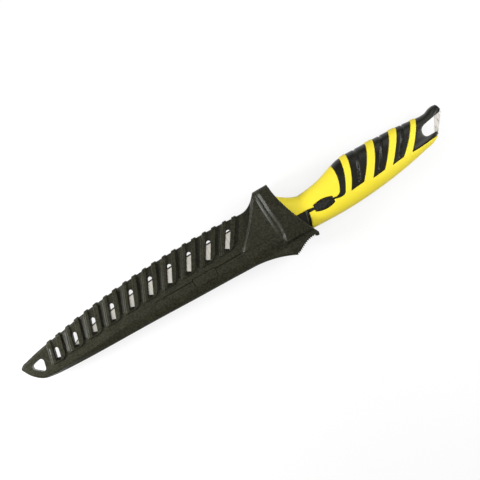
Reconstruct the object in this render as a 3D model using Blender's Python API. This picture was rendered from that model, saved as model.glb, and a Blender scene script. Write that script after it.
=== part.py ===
# Fillet knife in its vented belt sheath.
# Sizes are in millimetres. X runs from the sheath's tip to the butt of the handle,
# with zero at the guard, where the blade leaves the handle. Y runs from the blade's
# spine towards its cutting edge, and Z out of the sheath's front.
import math

import bmesh
import bpy
import numpy as np

MM = 0.001

# Blade and tang
BLADE_LENGTH = 152.4
BLADE_WIDTH = 22.6
BLADE_THICKNESS = 2.0
EDGE_THICKNESS = 0.3
GRIND_SHARE = 0.62
CHOIL_LENGTH = 5.0
TANG_HOLE_RADIUS = 3.0

# Handle
HANDLE_LENGTH = 130.3
HANDLE_DEPTH = 32.13
HANDLE_THICKNESS = 22.0
HANDLE_SQUARENESS = 2.4
GRIP_SKIN = 1.7
GRIP_SINK = 0.35
GROOVE_WIDTH = 1.1
GROOVE_DEPTH = 0.7
CORE_TONGUE_END = 108.0
FRONT_ROUNDING = 1.2
CREASE_AT = 22.5
OPENING_CHAMFER = 1.5

# Sheath
TIP_ROOM = 33.9
SHEATH_WALL = 2.1
BLADE_PLAY = 0.5
COLLAR_WALL = 2.3
THROAT_PLAY = 0.6
EAR_WALL = 2.9
CAVITY_START = 18.5
CAVITY_RIM = 2.4
BEVEL_DEPTH = 1.3
BEVEL_FADE = -150.0
BEVEL_FADE_LENGTH = 45.0
EDGE_ROUNDING = 1.8
CASE_END = -60.0
FLANGE_HALF = 6.2
RAMP_DROP = 9.4
RAMP_END_DROP = 4.3
RAMP_START = 4.5
RAMP_LENGTH = 17.0
FLARE_END = -1.4
FLARE_LENGTH = 13.0
DROP_LENGTH = 30.5
TOOTH_COUNT = 11
TOOTH_DEPTH = 0.7
TOOTH_WIDTH = 0.64
BEAD_HEIGHT = 0.35
BEAD_PITCH = 1.2
SLOT_COUNT = 10
SLOT_WIDTH = 3.0
SLOTS_START = -161.7
SLOTS_SPAN = 128.7
SLOTS_FOOT = 0.35
SLOTS_FOOT_DROP = 6.6
SLOTS_TOP = 10.8
SLOTS_TOP_DROP = 10.3
SLOTS_LEAN = (0.22, 0.65)
PAD_RAISE = 0.9
PAD_WIDTH = 10.4
PAD_CHANNEL = 3.9
PAD_FOOT = 2.4

# Belt clip
CLIP_WIDTH = 18.0
CLIP_THICKNESS = 2.2
CLIP_REACH = 62.0
CLIP_BASE_LENGTH = 15.0
CLIP_LIFT = 0.4
CLIP_NIP = 1.2
CLIP_MIDDLE = 1.5
CLIP_FRONT = 4.6
SCREW_INSET = 3.6
SCREW_RADIUS = 1.5
SCREW_HEAD_RADIUS = 2.8
SCREW_HEAD_HEIGHT = 1.2
SCREW_BITE = 1.7

# The gap that touching pieces keep
FIT = 0.3

# Outlines as drawn, in millimetres from the guard. Each is fitted to the sizes above.
BELLY_DRAWN = [
    (0, 18.5), (3, 19.8), (6, 19), (9, 16.3), (11, 13.7), (14, 11.3), (19, 8.4), (22.5, 7.1),
    (29, 7.6), (39, 9.3), (49, 12.7), (54, 14.6), (60, 15.4), (74, 15.3), (89, 14.9), (104, 13.9),
    (111, 13.1), (117, 12.5), (120, 12.9), (124.5, 14.4), (127.2, 14.3), (129.2, 13.2), (130.3, 11.2),
]
BACK_DRAWN = [
    (0, -14), (12, -15.5), (24, -16.2), (39, -16.7), (54, -16.5), (69, -15.4), (84, -13.6),
    (99, -11), (109, -8.8), (118, -6.4), (121, -4.5), (124, -1), (130.3, 8.2),
]
HALF_DRAWN = [
    (0, 8.7), (6, 9.2), (14, 8.9), (22.5, 8.3), (32, 9.1), (45, 10.2), (62, 11), (78, 10.9),
    (95, 10.2), (110, 9.2), (118, 8.1), (125, 6.4), (130.3, 4.2),
]
EDGE_DRAWN = [
    (-152.4, -6.5), (-147, -2.8), (-131.5, 1.6), (-116.5, 3.9), (-101, 6), (-86, 7.6),
    (-71, 8.7), (-56, 9.3), (-41, 9.6), (-20, 9.6), (-5, 9.3),
]
SPINE_DRAWN = [(-152.4, -6.5), (-130, -9.2), (-100, -11.2), (-60, -12.6), (-20, -13), (0, -13)]
CASE_EDGE_DRAWN = [
    (-186.3, -1), (-185.9, -0.3), (-185, 0.5), (-181, 1.75), (-171, 4.1), (-151, 7.4), (-136, 10.1),
    (-121, 12), (-105, 13.8), (-90, 15.05), (-75, 15.9), (-59, 16.3), (-44, 16.3), (-29, 16),
    (-16, 15.3), (0, 15.1),
]
CASE_SPINE_DRAWN = [
    (-186.3, -2.1), (-184.9, -5.1), (-183, -7.9), (-180, -10.9), (-177, -13), (-174, -14.1),
    (-168, -15), (-162, -15.4), (-147, -16.1), (-129, -16.5), (-110, -16.75), (-96, -17),
    (-66, -17.8), (-36, -18.45), (-26, -18.75), (0, -19.1),
]
# Where the bevel along the case's spine side begins, and where it has faded out
BEVEL_DRAWN = [(-186.3, -3), (-173, -13.2), (-156, -13), (-141, -12.2), (-126, -10.8), (-109, -10)]

# Each black pad's front and rear edge and its groove, as a curve's foot, bow and top
PADS_DRAWN = {
    "grip_pad_front": (
        [(54.2, -7.4), (61.6, 3.8), (62.7, 14.5)],
        [(64, -6.5), (74, 5), (77, 14.5)],
        [(62, -4.5), (66.6, 5), (69, 14.5)],
    ),
    "grip_pad_middle": (
        [(70.3, -7.4), (79.6, 4.6), (82.3, 14)],
        [(79.3, -6.5), (89.8, 4.9), (93.8, 14)],
        [(77, -4), (83.8, 4.6), (87.5, 14)],
    ),
    "grip_pad_rear": (
        [(85.3, -6.4), (94.6, 4.2), (99, 13)],
        [(94, -5.5), (103.6, 3), (109.2, 12.4)],
        [(92, -4), (98.2, 4.3), (103.3, 12.7)],
    ),
}
# The front grip: the hooked stripe's two edges, then the rest of its outline from the
# hook's foot under the oval pad to the thumb pad over the back, and back above the oval
HOOK_DRAWN = (
    [(47.5, -4), (51.8, 3.4), (51, 13.5)],
    [(50.5, -6.3), (56.8, 4), (58, 14.5)],
)
HOOK_FOOT_DRAWN = [(49, -7.3), (46, -7.5), (43, -6.8), (41.9, -6.7)]
OVAL_LOW_DRAWN = [(41.8, -8.2), (39, -9.1), (35, -9.5), (31, -8.9), (28.2, -7.7), (28, -6.3)]
THUMB_PAD_DRAWN = [
    (24, -6.2), (23.2, -9.5), (22.3, -12.5), (21, -15.4), (20.4, -20), (3.5, -20), (3.5, -5),
    (5, -3.3), (24, -3.9),
]
OVAL_HIGH_DRAWN = [(28.2, -4.8), (28.4, -3.3), (31, -2.6), (34, -2.3), (38, -2.8), (41.8, -4.2)]
HOOK_BEND_DRAWN = [(42, -5.5), (44, -5.9), (46, -5.4)]
STRIPE_OVERRUN = 3.0
CAP_EDGE_DRAWN = [(100.3, -5.6), (109, 3.9), (113.2, 12.5)]
CAP_FOOT_DRAWN = [(107, -5.5), (114, -4.9), (120.8, -4.2)]
CAP_BEYOND_DRAWN = [(121.9, -3.9), (121.9, -9), (140, -9), (140, 20), (113.2, 20)]
# The tang inside the handle, its steel loop across the butt and the loop's window
TANG_UPPER_DRAWN = [(6, 4.5), (22, 2.4), (40, 3), (70, 5.5), (106, 7.6), (114, 8.4), (127.4, 10.5)]
TANG_LOWER_DRAWN = [(130, 8.7), (122.7, -2.2), (120.8, -4), (106, -4.2), (70, -6.5), (30, -8), (8, -8.6)]
WINDOW_DRAWN = [(126.7, 8.6), (114.2, 6.8), (110.9, 4.8), (110.9, -0.6), (113.6, -2.6), (120.6, -2.6)]
LOCK_HOLES_DRAWN = [(34, -2.6), (66, -0.6), (94, 1.0)]
TANG_ROOT = (5.6, -10.5)
LANYARD_DRAWN = [
    (136, 9.6), (122, 7.2), (114.5, 5.6), (112.4, 4), (111.8, 2), (112, 0), (113, -1.2),
    (114.6, -1.7), (120, -1.6), (121.3, -2), (121.7, -3.4), (121.7, -9), (136, -9),
]
MOUTH_DRAWN = [(9, 22.8), (9.6, 6), (23, -19)]
RIDGE_DRAWN = [(-1.4, 23.3), (-1.2, 3), (1.2, -14)]
CREASE_TOP = -2.3
CREASE_LOW = (-26.0, -6.8)
TIP_HOLE_DRAWN = [(-182.3, -3), (-170.3, -0.4), (-172.8, -10.9)]
TIP_HOLE_RADIUS = 1.5

# Where a column's rows lie from its step to its top, and how high they are
ROW_SHARES = (0, 0.14, 0.3, 0.5, 0.7, 0.86, 1)
CRISP_ROWS = (1, 1, 1, 1, 1, 1, 1)
SOFT_ROWS = (0.42, 0.72, 0.92, 1, 1, 1, 1)

COLOURS = {
    "steel": ((0.62, 0.60, 0.55), 0.32, 1.0),
    "yellow": ((0.93, 0.74, 0.05), 0.38, 0.0),
    "rubber": ((0.022, 0.022, 0.020), 0.62, 0.0),
    "sheath": ((0.034, 0.034, 0.026), 0.55, 0.0),
    "clip": ((0.026, 0.026, 0.022), 0.45, 0.0),
    "screw": ((0.50, 0.50, 0.50), 0.35, 1.0),
}


# Curves

def fair(points):
    # A smooth height over x through the points.
    xs, ys = np.array(points, float).T
    slopes = np.gradient(ys, xs)

    def height(x):
        x = np.clip(x, xs[0], xs[-1])
        i = np.clip(np.searchsorted(xs, x, side="right") - 1, 0, len(xs) - 2)
        step = xs[i + 1] - xs[i]
        t = (x - xs[i]) / step
        start = (1 + 2 * t) * (1 - t) ** 2 * ys[i] + t * (1 - t) ** 2 * step * slopes[i]
        end = t**2 * (3 - 2 * t) * ys[i + 1] + t**2 * (t - 1) * step * slopes[i + 1]
        return start + end

    return height


def creased(points, place):
    # Two fair lines that meet in a crease.
    before = fair([point for point in points if point[0] <= place + 0.01])
    after = fair([point for point in points if point[0] >= place - 0.01])
    return lambda x: before(x) if x < place else after(x)


def scaled(points, along, across):
    return [(x * along, y * across) for x, y in points]


def bow(points, count=8):
    # A quadratic curve from its foot to its top, drawn towards its middle point.
    foot, middle, top = (np.array(point, float) for point in points)
    steps = np.linspace(0, 1, count)[:, None]
    return [tuple(p) for p in (1 - steps) ** 2 * foot + 2 * steps * (1 - steps) * middle + steps**2 * top]


def across_at(curve):
    # The x of a curve that runs down in y, as a function of y.
    points = sorted(bow(curve, 24), key=lambda point: point[1])
    xs, ys = np.array(points).T
    return lambda y: float(np.interp(y, ys, xs))


def rounded(corners, radius, steps=4):
    # The outline with an arc at each corner.
    corners = [np.array(corner, float) for corner in corners]
    outline = []
    for i, corner in enumerate(corners):
        before = corners[i - 1] - corner
        after = corners[(i + 1) % len(corners)] - corner
        before /= np.linalg.norm(before)
        after /= np.linalg.norm(after)
        half = math.acos(np.clip(before @ after, -1, 1)) / 2
        inward = (before + after) / np.linalg.norm(before + after)
        centre = corner + inward * radius / math.sin(half)
        start = corner + before * radius / math.tan(half) - centre
        end = corner + after * radius / math.tan(half) - centre
        turn = math.atan2(start[0] * end[1] - start[1] * end[0], start @ end)
        for angle in np.linspace(0, turn, steps):
            c, s = math.cos(angle), math.sin(angle)
            outline.append((centre[0] + c * start[0] - s * start[1], centre[1] + s * start[0] + c * start[1]))
    return outline


def grown(outline, distance):
    # The outline moved outwards by a distance, corners mitred.
    points = np.array(outline, float)
    area = np.sum(points[:, 0] * np.roll(points[:, 1], -1) - points[:, 1] * np.roll(points[:, 0], -1))
    ahead = np.roll(points, -1, axis=0) - points
    ahead /= np.linalg.norm(ahead, axis=1)[:, None]
    normals = np.stack([ahead[:, 1], -ahead[:, 0]], axis=1) * (1 if area > 0 else -1)
    both = np.roll(normals, 1, axis=0) + normals
    reach = 2 / np.maximum(np.sum(both**2, axis=1), 0.5)
    return [tuple(p) for p in points + both * (reach * distance)[:, None]]


def capsule(foot, top, width, steps=5):
    # A slot with round ends along the line from its foot to its top.
    foot, top = np.array(foot, float), np.array(top, float)
    ahead = (top - foot) / np.linalg.norm(top - foot)
    radius = width / 2
    angle = math.atan2(ahead[1], ahead[0])
    outline = []
    for centre, first in ((top - ahead * radius, angle), (foot + ahead * radius, angle + math.pi)):
        for turn in np.linspace(first - math.pi / 2, first + math.pi / 2, steps):
            outline.append(tuple(centre + radius * np.array([math.cos(turn), math.sin(turn)])))
    return outline


# Solids

def solid(name, points, faces):
    mesh = bpy.data.meshes.new(name)
    mesh.from_pydata([tuple(MM * c for c in point) for point in points], [], faces)
    shape = bmesh.new()
    shape.from_mesh(mesh)
    bmesh.ops.remove_doubles(shape, verts=shape.verts, dist=0.002 * MM)
    bmesh.ops.recalc_face_normals(shape, faces=shape.faces)
    shape.to_mesh(mesh)
    shape.free()
    result = bpy.data.objects.new(name, mesh)
    bpy.context.collection.objects.link(result)
    return result


def prism(name, outline, low, high):
    count = len(outline)
    points = [(x, y, z) for z in (low, high) for x, y in outline]
    faces = [tuple(range(count)), tuple(range(2 * count - 1, count - 1, -1))]
    faces += [(i, (i + 1) % count, count + (i + 1) % count, count + i) for i in range(count)]
    return solid(name, points, faces)


def loft(name, rings):
    count = len(rings[0])
    points = [point for ring in rings for point in ring]
    faces = [tuple(range(count)), tuple(range(len(points) - count, len(points)))]
    for k in range(len(rings) - 1):
        for i in range(count):
            j = (i + 1) % count
            faces.append((k * count + i, k * count + j, (k + 1) * count + j, (k + 1) * count + i))
    return solid(name, points, faces)


def pin(name, x, y, radius, low, high, sides=16):
    turns = np.linspace(0, 2 * math.pi, sides, endpoint=False)
    return prism(name, [(x + radius * math.cos(a), y + radius * math.sin(a)) for a in turns], low, high)


def joined(name, pieces):
    # Several separate bodies as one cutter.
    shape = bmesh.new()
    for piece in pieces:
        shape.from_mesh(piece.data)
        bpy.data.objects.remove(piece)
    mesh = bpy.data.meshes.new(name)
    shape.to_mesh(mesh)
    shape.free()
    result = bpy.data.objects.new(name, mesh)
    bpy.context.collection.objects.link(result)
    return result


def combine(target, operation, tool, keep=False):
    modifier = target.modifiers.new(operation.lower(), "BOOLEAN")
    modifier.operation = operation
    modifier.solver = "EXACT"
    modifier.object = tool
    bpy.context.view_layer.update()
    graph = bpy.context.evaluated_depsgraph_get()
    mesh = bpy.data.meshes.new_from_object(target.evaluated_get(graph))
    target.modifiers.clear()
    target.data = mesh
    if not keep:
        bpy.data.objects.remove(tool)


def finish(piece, material, angle=35):
    shape = bmesh.new()
    shape.from_mesh(piece.data)
    bmesh.ops.remove_doubles(shape, verts=shape.verts, dist=0.004 * MM)
    bmesh.ops.dissolve_degenerate(shape, edges=shape.edges, dist=0.002 * MM)
    shape.to_mesh(piece.data)
    shape.free()
    piece.data.name = piece.name
    piece.data.materials.clear()
    piece.data.materials.append(material)
    piece.data.shade_smooth()
    piece.data.set_sharp_from_angle(angle=math.radians(angle))


def paint(name):
    colour, roughness, metallic = COLOURS[name]
    material = bpy.data.materials.new(name)
    material.use_nodes = True
    shader = material.node_tree.nodes["Principled BSDF"]
    shader.inputs["Base Color"].default_value = (*colour, 1)
    shader.inputs["Roughness"].default_value = roughness
    shader.inputs["Metallic"].default_value = metallic
    return material


# The handle's form

HANDLE_ALONG = HANDLE_LENGTH / BELLY_DRAWN[-1][0]
HANDLE_ACROSS = HANDLE_DEPTH / (fair(BELLY_DRAWN)(70) - min(y for x, y in BACK_DRAWN))
HALF_SCALE = HANDLE_THICKNESS / 2 / max(y for x, y in HALF_DRAWN)
belly = creased(scaled(BELLY_DRAWN, HANDLE_ALONG, HANDLE_ACROSS), CREASE_AT * HANDLE_ALONG)
back = fair(scaled(BACK_DRAWN, HANDLE_ALONG, HANDLE_ACROSS))
half = creased(scaled(HALF_DRAWN, HANDLE_ALONG, HALF_SCALE), CREASE_AT * HANDLE_ALONG)


def on_handle(points):
    return scaled(points, HANDLE_ALONG, HANDLE_ACROSS)


def egg(x, low, high, depth, sides=32):
    # A rounded section square to X, between low and high in Y and of half the depth in Z.
    middle, reach = (low + high) / 2, (high - low) / 2
    ring = []
    for turn in np.linspace(0, 2 * math.pi, sides, endpoint=False):
        c, s = math.cos(turn), math.sin(turn)
        y = middle + reach * math.copysign(abs(c) ** (2 / HANDLE_SQUARENESS), c)
        ring.append((x, y, depth * math.copysign(abs(s) ** (2 / HANDLE_SQUARENESS), s)))
    return ring


def handle_form(name, inset, start=0.0, end=HANDLE_LENGTH):
    xs = [x * HANDLE_ALONG for x, y in BELLY_DRAWN]
    xs = [start] + [x for x in xs if start + 1 < x < end - 1] + [end]
    stations = []
    for a, b in zip(xs, xs[1:]):
        stations += list(np.linspace(a, b, max(1, round((b - a) / 5)), endpoint=False))
    stations.append(end)
    if start == 0:
        stations = [0, 0.3 * FRONT_ROUNDING] + [x for x in stations if x > FRONT_ROUNDING]
    rings = []
    for x in stations:
        # The guard's front edge is rounded.
        ahead = max(0.0, FRONT_ROUNDING - x) if start == 0 else 0.0
        edge = inset + FRONT_ROUNDING - math.sqrt(FRONT_ROUNDING**2 - ahead**2)
        rings.append(egg(x, back(x) + edge, belly(x) - edge, half(x) - edge))
    return loft(name, rings)


# Knife

BLADE_ALONG = BLADE_LENGTH / -EDGE_DRAWN[0][0]
BLADE_ACROSS = BLADE_WIDTH / (max(y for x, y in EDGE_DRAWN) - min(y for x, y in SPINE_DRAWN))
blade_edge = fair(scaled(EDGE_DRAWN, BLADE_ALONG, BLADE_ACROSS))
blade_spine = fair(scaled(SPINE_DRAWN, BLADE_ALONG, BLADE_ACROSS))


def tang_outline():
    root_high, root_low = (y * BLADE_ACROSS for y in TANG_ROOT)
    front = [(-CHOIL_LENGTH, blade_spine(-CHOIL_LENGTH)), (-CHOIL_LENGTH, root_high), (0, root_high)]
    return front + on_handle(TANG_UPPER_DRAWN) + on_handle(TANG_LOWER_DRAWN) + [(0, root_low)]


def tang_plate(name, grow):
    # The steel inside the handle, or, grown by the fit, the room that the handle gives it.
    plate = prism(name, grown(tang_outline(), grow), -BLADE_THICKNESS / 2 - grow, BLADE_THICKNESS / 2 + grow)
    window = rounded(on_handle(WINDOW_DRAWN), 0.7, 3)
    holes = [prism("window", grown(window, -grow), -HANDLE_THICKNESS, HANDLE_THICKNESS)]
    for x, y in on_handle(LOCK_HOLES_DRAWN):
        holes.append(pin("lock_hole", x, y, TANG_HOLE_RADIUS - grow, -HANDLE_THICKNESS, HANDLE_THICKNESS, 12))
    combine(plate, "DIFFERENCE", joined("holes", holes))
    return plate


def make_blade():
    xs = np.linspace(-BLADE_LENGTH, -CHOIL_LENGTH, 27)
    outline = [(x, blade_edge(x)) for x in xs]
    outline += [(-CHOIL_LENGTH + 1, blade_spine(0) / 2), (-CHOIL_LENGTH + 1, blade_spine(0))]
    outline += [(x, blade_spine(x)) for x in xs[:0:-2]]
    blade = prism("blade", outline, -BLADE_THICKNESS / 2, BLADE_THICKNESS / 2)
    # Both faces are ground from a shoulder near the spine to the edge, and thinner to the tip.
    for side in (1, -1):
        rings = []
        for x in np.linspace(-BLADE_LENGTH - 1, -CHOIL_LENGTH + 0.6, 25):
            spine, edge = blade_spine(x), blade_edge(x)
            shoulder = edge + (spine - edge) * GRIND_SHARE
            taper = 1 - 0.35 * max(0.0, (-x / BLADE_LENGTH - 0.35) / 0.65)
            top = BLADE_THICKNESS / 2 * taper
            rings.append([
                (x, spine - 3, side * top), (x, shoulder, side * top),
                (x, edge + 0.02, side * EDGE_THICKNESS / 2), (x, edge + 3, side * EDGE_THICKNESS / 2),
                (x, edge + 3, side * 4), (x, spine - 3, side * 4),
            ])
        combine(blade, "DIFFERENCE", loft("grind", rings))
    combine(blade, "UNION", tang_plate("tang", 0))
    return blade


def stripe(front, rear):
    # A black stripe that wraps over the belly: front edge up, rear edge down.
    front, rear = bow(on_handle(front)), bow(on_handle(rear))
    return front + over_belly(front, rear) + rear[::-1]


def over_belly(front, rear):
    # Where a stripe's two edges run on past the belly.
    return [(x, y + STRIPE_OVERRUN * HANDLE_ACROSS) for x, y in (front[-1], rear[-1])]


def front_grip_outline():
    # Thumb pad over the back, a strip, the oval pad, a strip and the hooked first stripe.
    front, rear = (bow(on_handle(curve)) for curve in HOOK_DRAWN)
    rest = HOOK_FOOT_DRAWN + OVAL_LOW_DRAWN + THUMB_PAD_DRAWN + OVAL_HIGH_DRAWN + HOOK_BEND_DRAWN
    return rear[::-1] + on_handle(rest) + front + over_belly(front, rear)


def cap_outline():
    return bow(on_handle(CAP_EDGE_DRAWN))[::-1] + on_handle(CAP_FOOT_DRAWN) + on_handle(CAP_BEYOND_DRAWN)


def grip(name, outline):
    # A skin of soft plastic that follows the handle's form, a little below it.
    piece = handle_form(name, GRIP_SINK)
    combine(piece, "INTERSECT", prism("outline", outline, -HANDLE_THICKNESS, HANDLE_THICKNESS))
    inside = handle_form("inside", GRIP_SINK + GRIP_SKIN, 1.5, CORE_TONGUE_END * HANDLE_ALONG)
    combine(piece, "DIFFERENCE", inside)
    return piece


def pocket(outline):
    # What the core gives up for a grip: the grip's own space and the gap round it.
    room = prism("pocket", grown(outline, FIT), -HANDLE_THICKNESS, HANDLE_THICKNESS)
    inset = GRIP_SINK + GRIP_SKIN + FIT
    combine(room, "DIFFERENCE", handle_form("inside", inset, 1.5 - FIT, CORE_TONGUE_END * HANDLE_ALONG - FIT))
    return room


def lanyard_opening():
    # The hole beside the steel loop, wider towards both faces for a chamfered rim.
    outline = on_handle(LANYARD_DRAWN)
    wide = grown(outline, OPENING_CHAMFER)
    depth = half(LANYARD_DRAWN[2][0] * HANDLE_ALONG)
    levels = [
        (wide, -depth - 1), (wide, -depth + 0.6), (outline, -depth + 0.6 + OPENING_CHAMFER * 1.4),
        (outline, depth - 0.6 - OPENING_CHAMFER * 1.4), (wide, depth - 0.6), (wide, depth + 1),
    ]
    return loft("opening", [[(x, y, z) for x, y in line] for line, z in levels])


def make_handle():
    core = handle_form("handle_core", 0)
    outlines = {"front_grip": front_grip_outline()}
    for name, (front, rear, line) in PADS_DRAWN.items():
        outlines[name] = stripe(front, rear)
    outlines["butt_cap"] = cap_outline()
    pieces = {name: grip(name, outline) for name, outline in outlines.items()}
    for outline in outlines.values():
        combine(core, "DIFFERENCE", pocket(outline))
    for name, (front, rear, line) in PADS_DRAWN.items():
        curve = bow(on_handle(line), 6)
        curve.append((curve[-1][0] + 0.2, curve[-1][1] + 3))
        left = [(x - GROOVE_WIDTH / 2, y) for x, y in curve]
        right = [(x + GROOVE_WIDTH / 2, y) for x, y in curve]
        groove = prism("groove", left + right[::-1], -HANDLE_THICKNESS, HANDLE_THICKNESS)
        combine(groove, "DIFFERENCE", handle_form("floor", GRIP_SINK + GROOVE_DEPTH))
        combine(pieces[name], "DIFFERENCE", groove)
    opening = lanyard_opening()
    slot = tang_plate("slot", FIT)
    for piece in (core, pieces["butt_cap"]):
        combine(piece, "DIFFERENCE", opening, keep=True)
        combine(piece, "DIFFERENCE", slot, keep=True)
    bpy.data.objects.remove(opening)
    bpy.data.objects.remove(slot)
    return [core] + list(pieces.values())


# Sheath

REACH = BLADE_LENGTH + TIP_ROOM
CASE_ALONG = REACH / -CASE_EDGE_DRAWN[0][0]
CASE_HALF = BLADE_THICKNESS / 2 + BLADE_PLAY + SHEATH_WALL
case_edge = fair(scaled(CASE_EDGE_DRAWN, CASE_ALONG, BLADE_ACROSS))
case_spine = fair(scaled(CASE_SPINE_DRAWN, CASE_ALONG, BLADE_ACROSS))
bevel_line = fair(scaled(BEVEL_DRAWN, CASE_ALONG, BLADE_ACROSS))

GUARD_SPAN = np.linspace(0, 14 * HANDLE_ALONG, 20)
THROAT_HIGH = max(belly(x) for x in GUARD_SPAN) + THROAT_PLAY
THROAT_LOW = min(back(x) for x in np.linspace(0, 24 * HANDLE_ALONG, 20)) - THROAT_PLAY
THROAT_HALF = max(half(x) for x in GUARD_SPAN) + THROAT_PLAY
COLLAR_HALF = THROAT_HALF + COLLAR_WALL
EAR_TOP = THROAT_HIGH + EAR_WALL
RAMP_LOW = THROAT_LOW - RAMP_DROP
RAMP_END = THROAT_LOW - RAMP_END_DROP
STEP_LINE = THROAT_LOW + 0.9
MOUTH_YS = (EAR_TOP, MOUTH_DRAWN[1][1], RAMP_END + 1.5)
mouth_x = across_at([(x * HANDLE_ALONG, y) for (x, drawn), y in zip(MOUTH_DRAWN, MOUTH_YS)])
ridge_x = across_at(RIDGE_DRAWN)


def sheath_top(x):
    # The case's edge line, flaring into the collar's ear.
    flare = np.clip((x - FLARE_END + FLARE_LENGTH) / FLARE_LENGTH, 0, 1) ** 2
    return float(case_edge(x) * (1 - flare) + EAR_TOP * flare)


def sheath_bottom(x):
    # The case's spine line, dropping to the foot of the thumb ramp and rising along it.
    if x < RAMP_START:
        drop = np.clip((x - RAMP_START + DROP_LENGTH) / DROP_LENGTH, 0, 1) ** 2.2
        return float(case_spine(x) * (1 - drop) + RAMP_LOW * drop)
    rise = np.clip((x - RAMP_START) / RAMP_LENGTH, 0, 1)
    return float(RAMP_END + (RAMP_LOW - RAMP_END) * (1 - rise) ** 2)


def crease_x(y):
    # The line where the flat case starts to climb to the collar.
    low_x, low_y = CREASE_LOW
    climb = (CREASE_TOP - low_x) / (EAR_TOP - low_y)
    return low_x + climb * max(0.0, y - low_y)


def column(line, low_x, main, low, step, crisp=True):
    # One column of the sheath's surface: its x as a function of y, and its heights
    # above and below the step near its low end, which is crisp or rolls off softly.
    ends = {"line": line, "low_x": low_x, "high_x": line(EAR_TOP)}
    return {**ends, "main": main, "low": low, "step": step, "crisp": crisp}


def case_columns():
    # The flat case: upright columns, then ones that lean over to the crease.
    columns = []
    tip = [0, 0.4, 1.2, 2.6, 5, 8, 11, 14, 18, 23]
    for x in [-REACH + ahead for ahead in tip] + list(np.linspace(-REACH + 32, CASE_END, 10)):
        bevel = BEVEL_DEPTH * (1 - np.clip((x / CASE_ALONG - BEVEL_FADE) / BEVEL_FADE_LENGTH, 0, 1))
        columns.append(column(lambda y, x=x: x, x, CASE_HALF, CASE_HALF - bevel, bevel_line(x)))
    for share in (0.3, 0.55, 0.75, 0.86, 0.94, 1):
        line = lambda y, share=share: CASE_END + share * (crease_x(y) - CASE_END)
        columns.append(column(line, line(case_spine(0)), CASE_HALF, CASE_HALF, bevel_line(0) - 2 * share))
    return columns


def collar_columns():
    # The slope from the crease up to the ridge, the ridge's twin beads and the collar.
    columns = []
    foot = bevel_line(0) - 2
    for share in (0.2, 0.4, 0.6, 0.8, 1):
        line = lambda y, share=share: crease_x(y) + share * (ridge_x(y) - BEAD_PITCH / 2 - crease_x(y))
        main = CASE_HALF + 0.96 * share * (COLLAR_HALF - CASE_HALF)
        low = CASE_HALF + share * (FLANGE_HALF - CASE_HALF)
        columns.append(column(line, line(RAMP_LOW), main, low, foot + share * (STEP_LINE - foot), False))
    for k, lift in enumerate((BEAD_HEIGHT, -BEAD_HEIGHT, BEAD_HEIGHT, 0)):
        line = lambda y, k=k: ridge_x(y) + k * BEAD_PITCH
        columns.append(column(line, line(RAMP_LOW), COLLAR_HALF + lift, FLANGE_HALF, STEP_LINE))
    for share in (0.25, 0.5, 0.75, 1):
        line = lambda y, share=share: (1 - share) * (ridge_x(y) + 3 * BEAD_PITCH) + share * mouth_x(y)
        columns.append(column(line, line(RAMP_LOW), COLLAR_HALF, FLANGE_HALF, STEP_LINE))
    return columns


def sheath_form(name, side, columns, raised=0.0):
    # Half of the sheath, solid, from the parting plane out.
    parting = FIT / 2
    grid = []
    for place in columns:
        low = sheath_bottom(place["low_x"]) - raised
        high = sheath_top(place["high_x"]) + raised
        edge = min(EDGE_ROUNDING, (high - low) / 4)
        main, under = place["main"] + raised, place["low"] + raised
        step = np.clip(place["step"], low + 1.3 * edge, high - 1.7 * edge)
        foot = step + min(1.0, 0.2 * edge + 0.12 * (main - under))
        rows = [(low, parting), (low + 0.15 * edge, under - edge), (low + edge, under - 0.12 * edge)]
        rows.append((step, under if place["crisp"] else 0.7 * under + 0.3 * main))
        for share, height in zip(ROW_SHARES, CRISP_ROWS if place["crisp"] else SOFT_ROWS):
            rows.append((foot + share * (high - edge - foot), under + height * (main - under)))
        rows += [(high - 0.15 * edge, main - edge), (high, parting)]
        grid.append([(place["line"](y), y, side * z) for y, z in rows])
    count = len(grid[0])
    upper = [point for ring in grid for point in ring]
    points = upper + [(x, y, side * parting) for x, y, z in upper]
    below = len(upper)
    last = (len(grid) - 1) * count
    faces = []
    for k in range(0, last, count):
        faces += [(k + i, k + i + 1, k + count + i + 1, k + count + i) for i in range(count - 1)]
    for k in (0, last):
        faces += [(k + i, k + i + 1, below + k + i + 1, below + k + i) for i in range(count - 1)]
    # The flat face at the parting plane is one polygon round the whole outline.
    rim = list(range(0, last, count)) + [below + last + i for i in range(count - 1)]
    rim += list(range(last + count - 1, count - 1, -count)) + [below + i for i in range(count - 1, 0, -1)]
    faces.append(tuple(rim))
    return closed_solid(name, points, faces)


def closed_solid(name, points, faces):
    # Faces that lost their area where rows meet are dropped before the solid is made.
    places = {}
    index = []
    for point in points:
        key = tuple(round(c, 3) for c in point)
        index.append(places.setdefault(key, len(places)))
    clean = []
    for face in faces:
        ring = [index[i] for i in face]
        ring = [v for i, v in enumerate(ring) if v != ring[i - 1]]
        if len(set(ring)) > 2:
            clean.append(tuple(ring))
    return solid(name, list(places), clean)


def slot_axis(k):
    # Foot and top of a slot's centre line.
    share = k / (SLOT_COUNT - 1)
    foot_x = (SLOTS_START + SLOTS_SPAN * share) * CASE_ALONG
    foot_y = (SLOTS_FOOT - SLOTS_FOOT_DROP * (1 - share) ** 2) * BLADE_ACROSS
    top_y = (SLOTS_TOP - SLOTS_TOP_DROP * (1 - 1.2 * share) ** 2) * BLADE_ACROSS
    lean = SLOTS_LEAN[0] + (SLOTS_LEAN[1] - SLOTS_LEAN[0]) * share
    return (foot_x, foot_y - SLOT_WIDTH / 2), (foot_x + lean * (top_y - foot_y), top_y), lean


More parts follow.
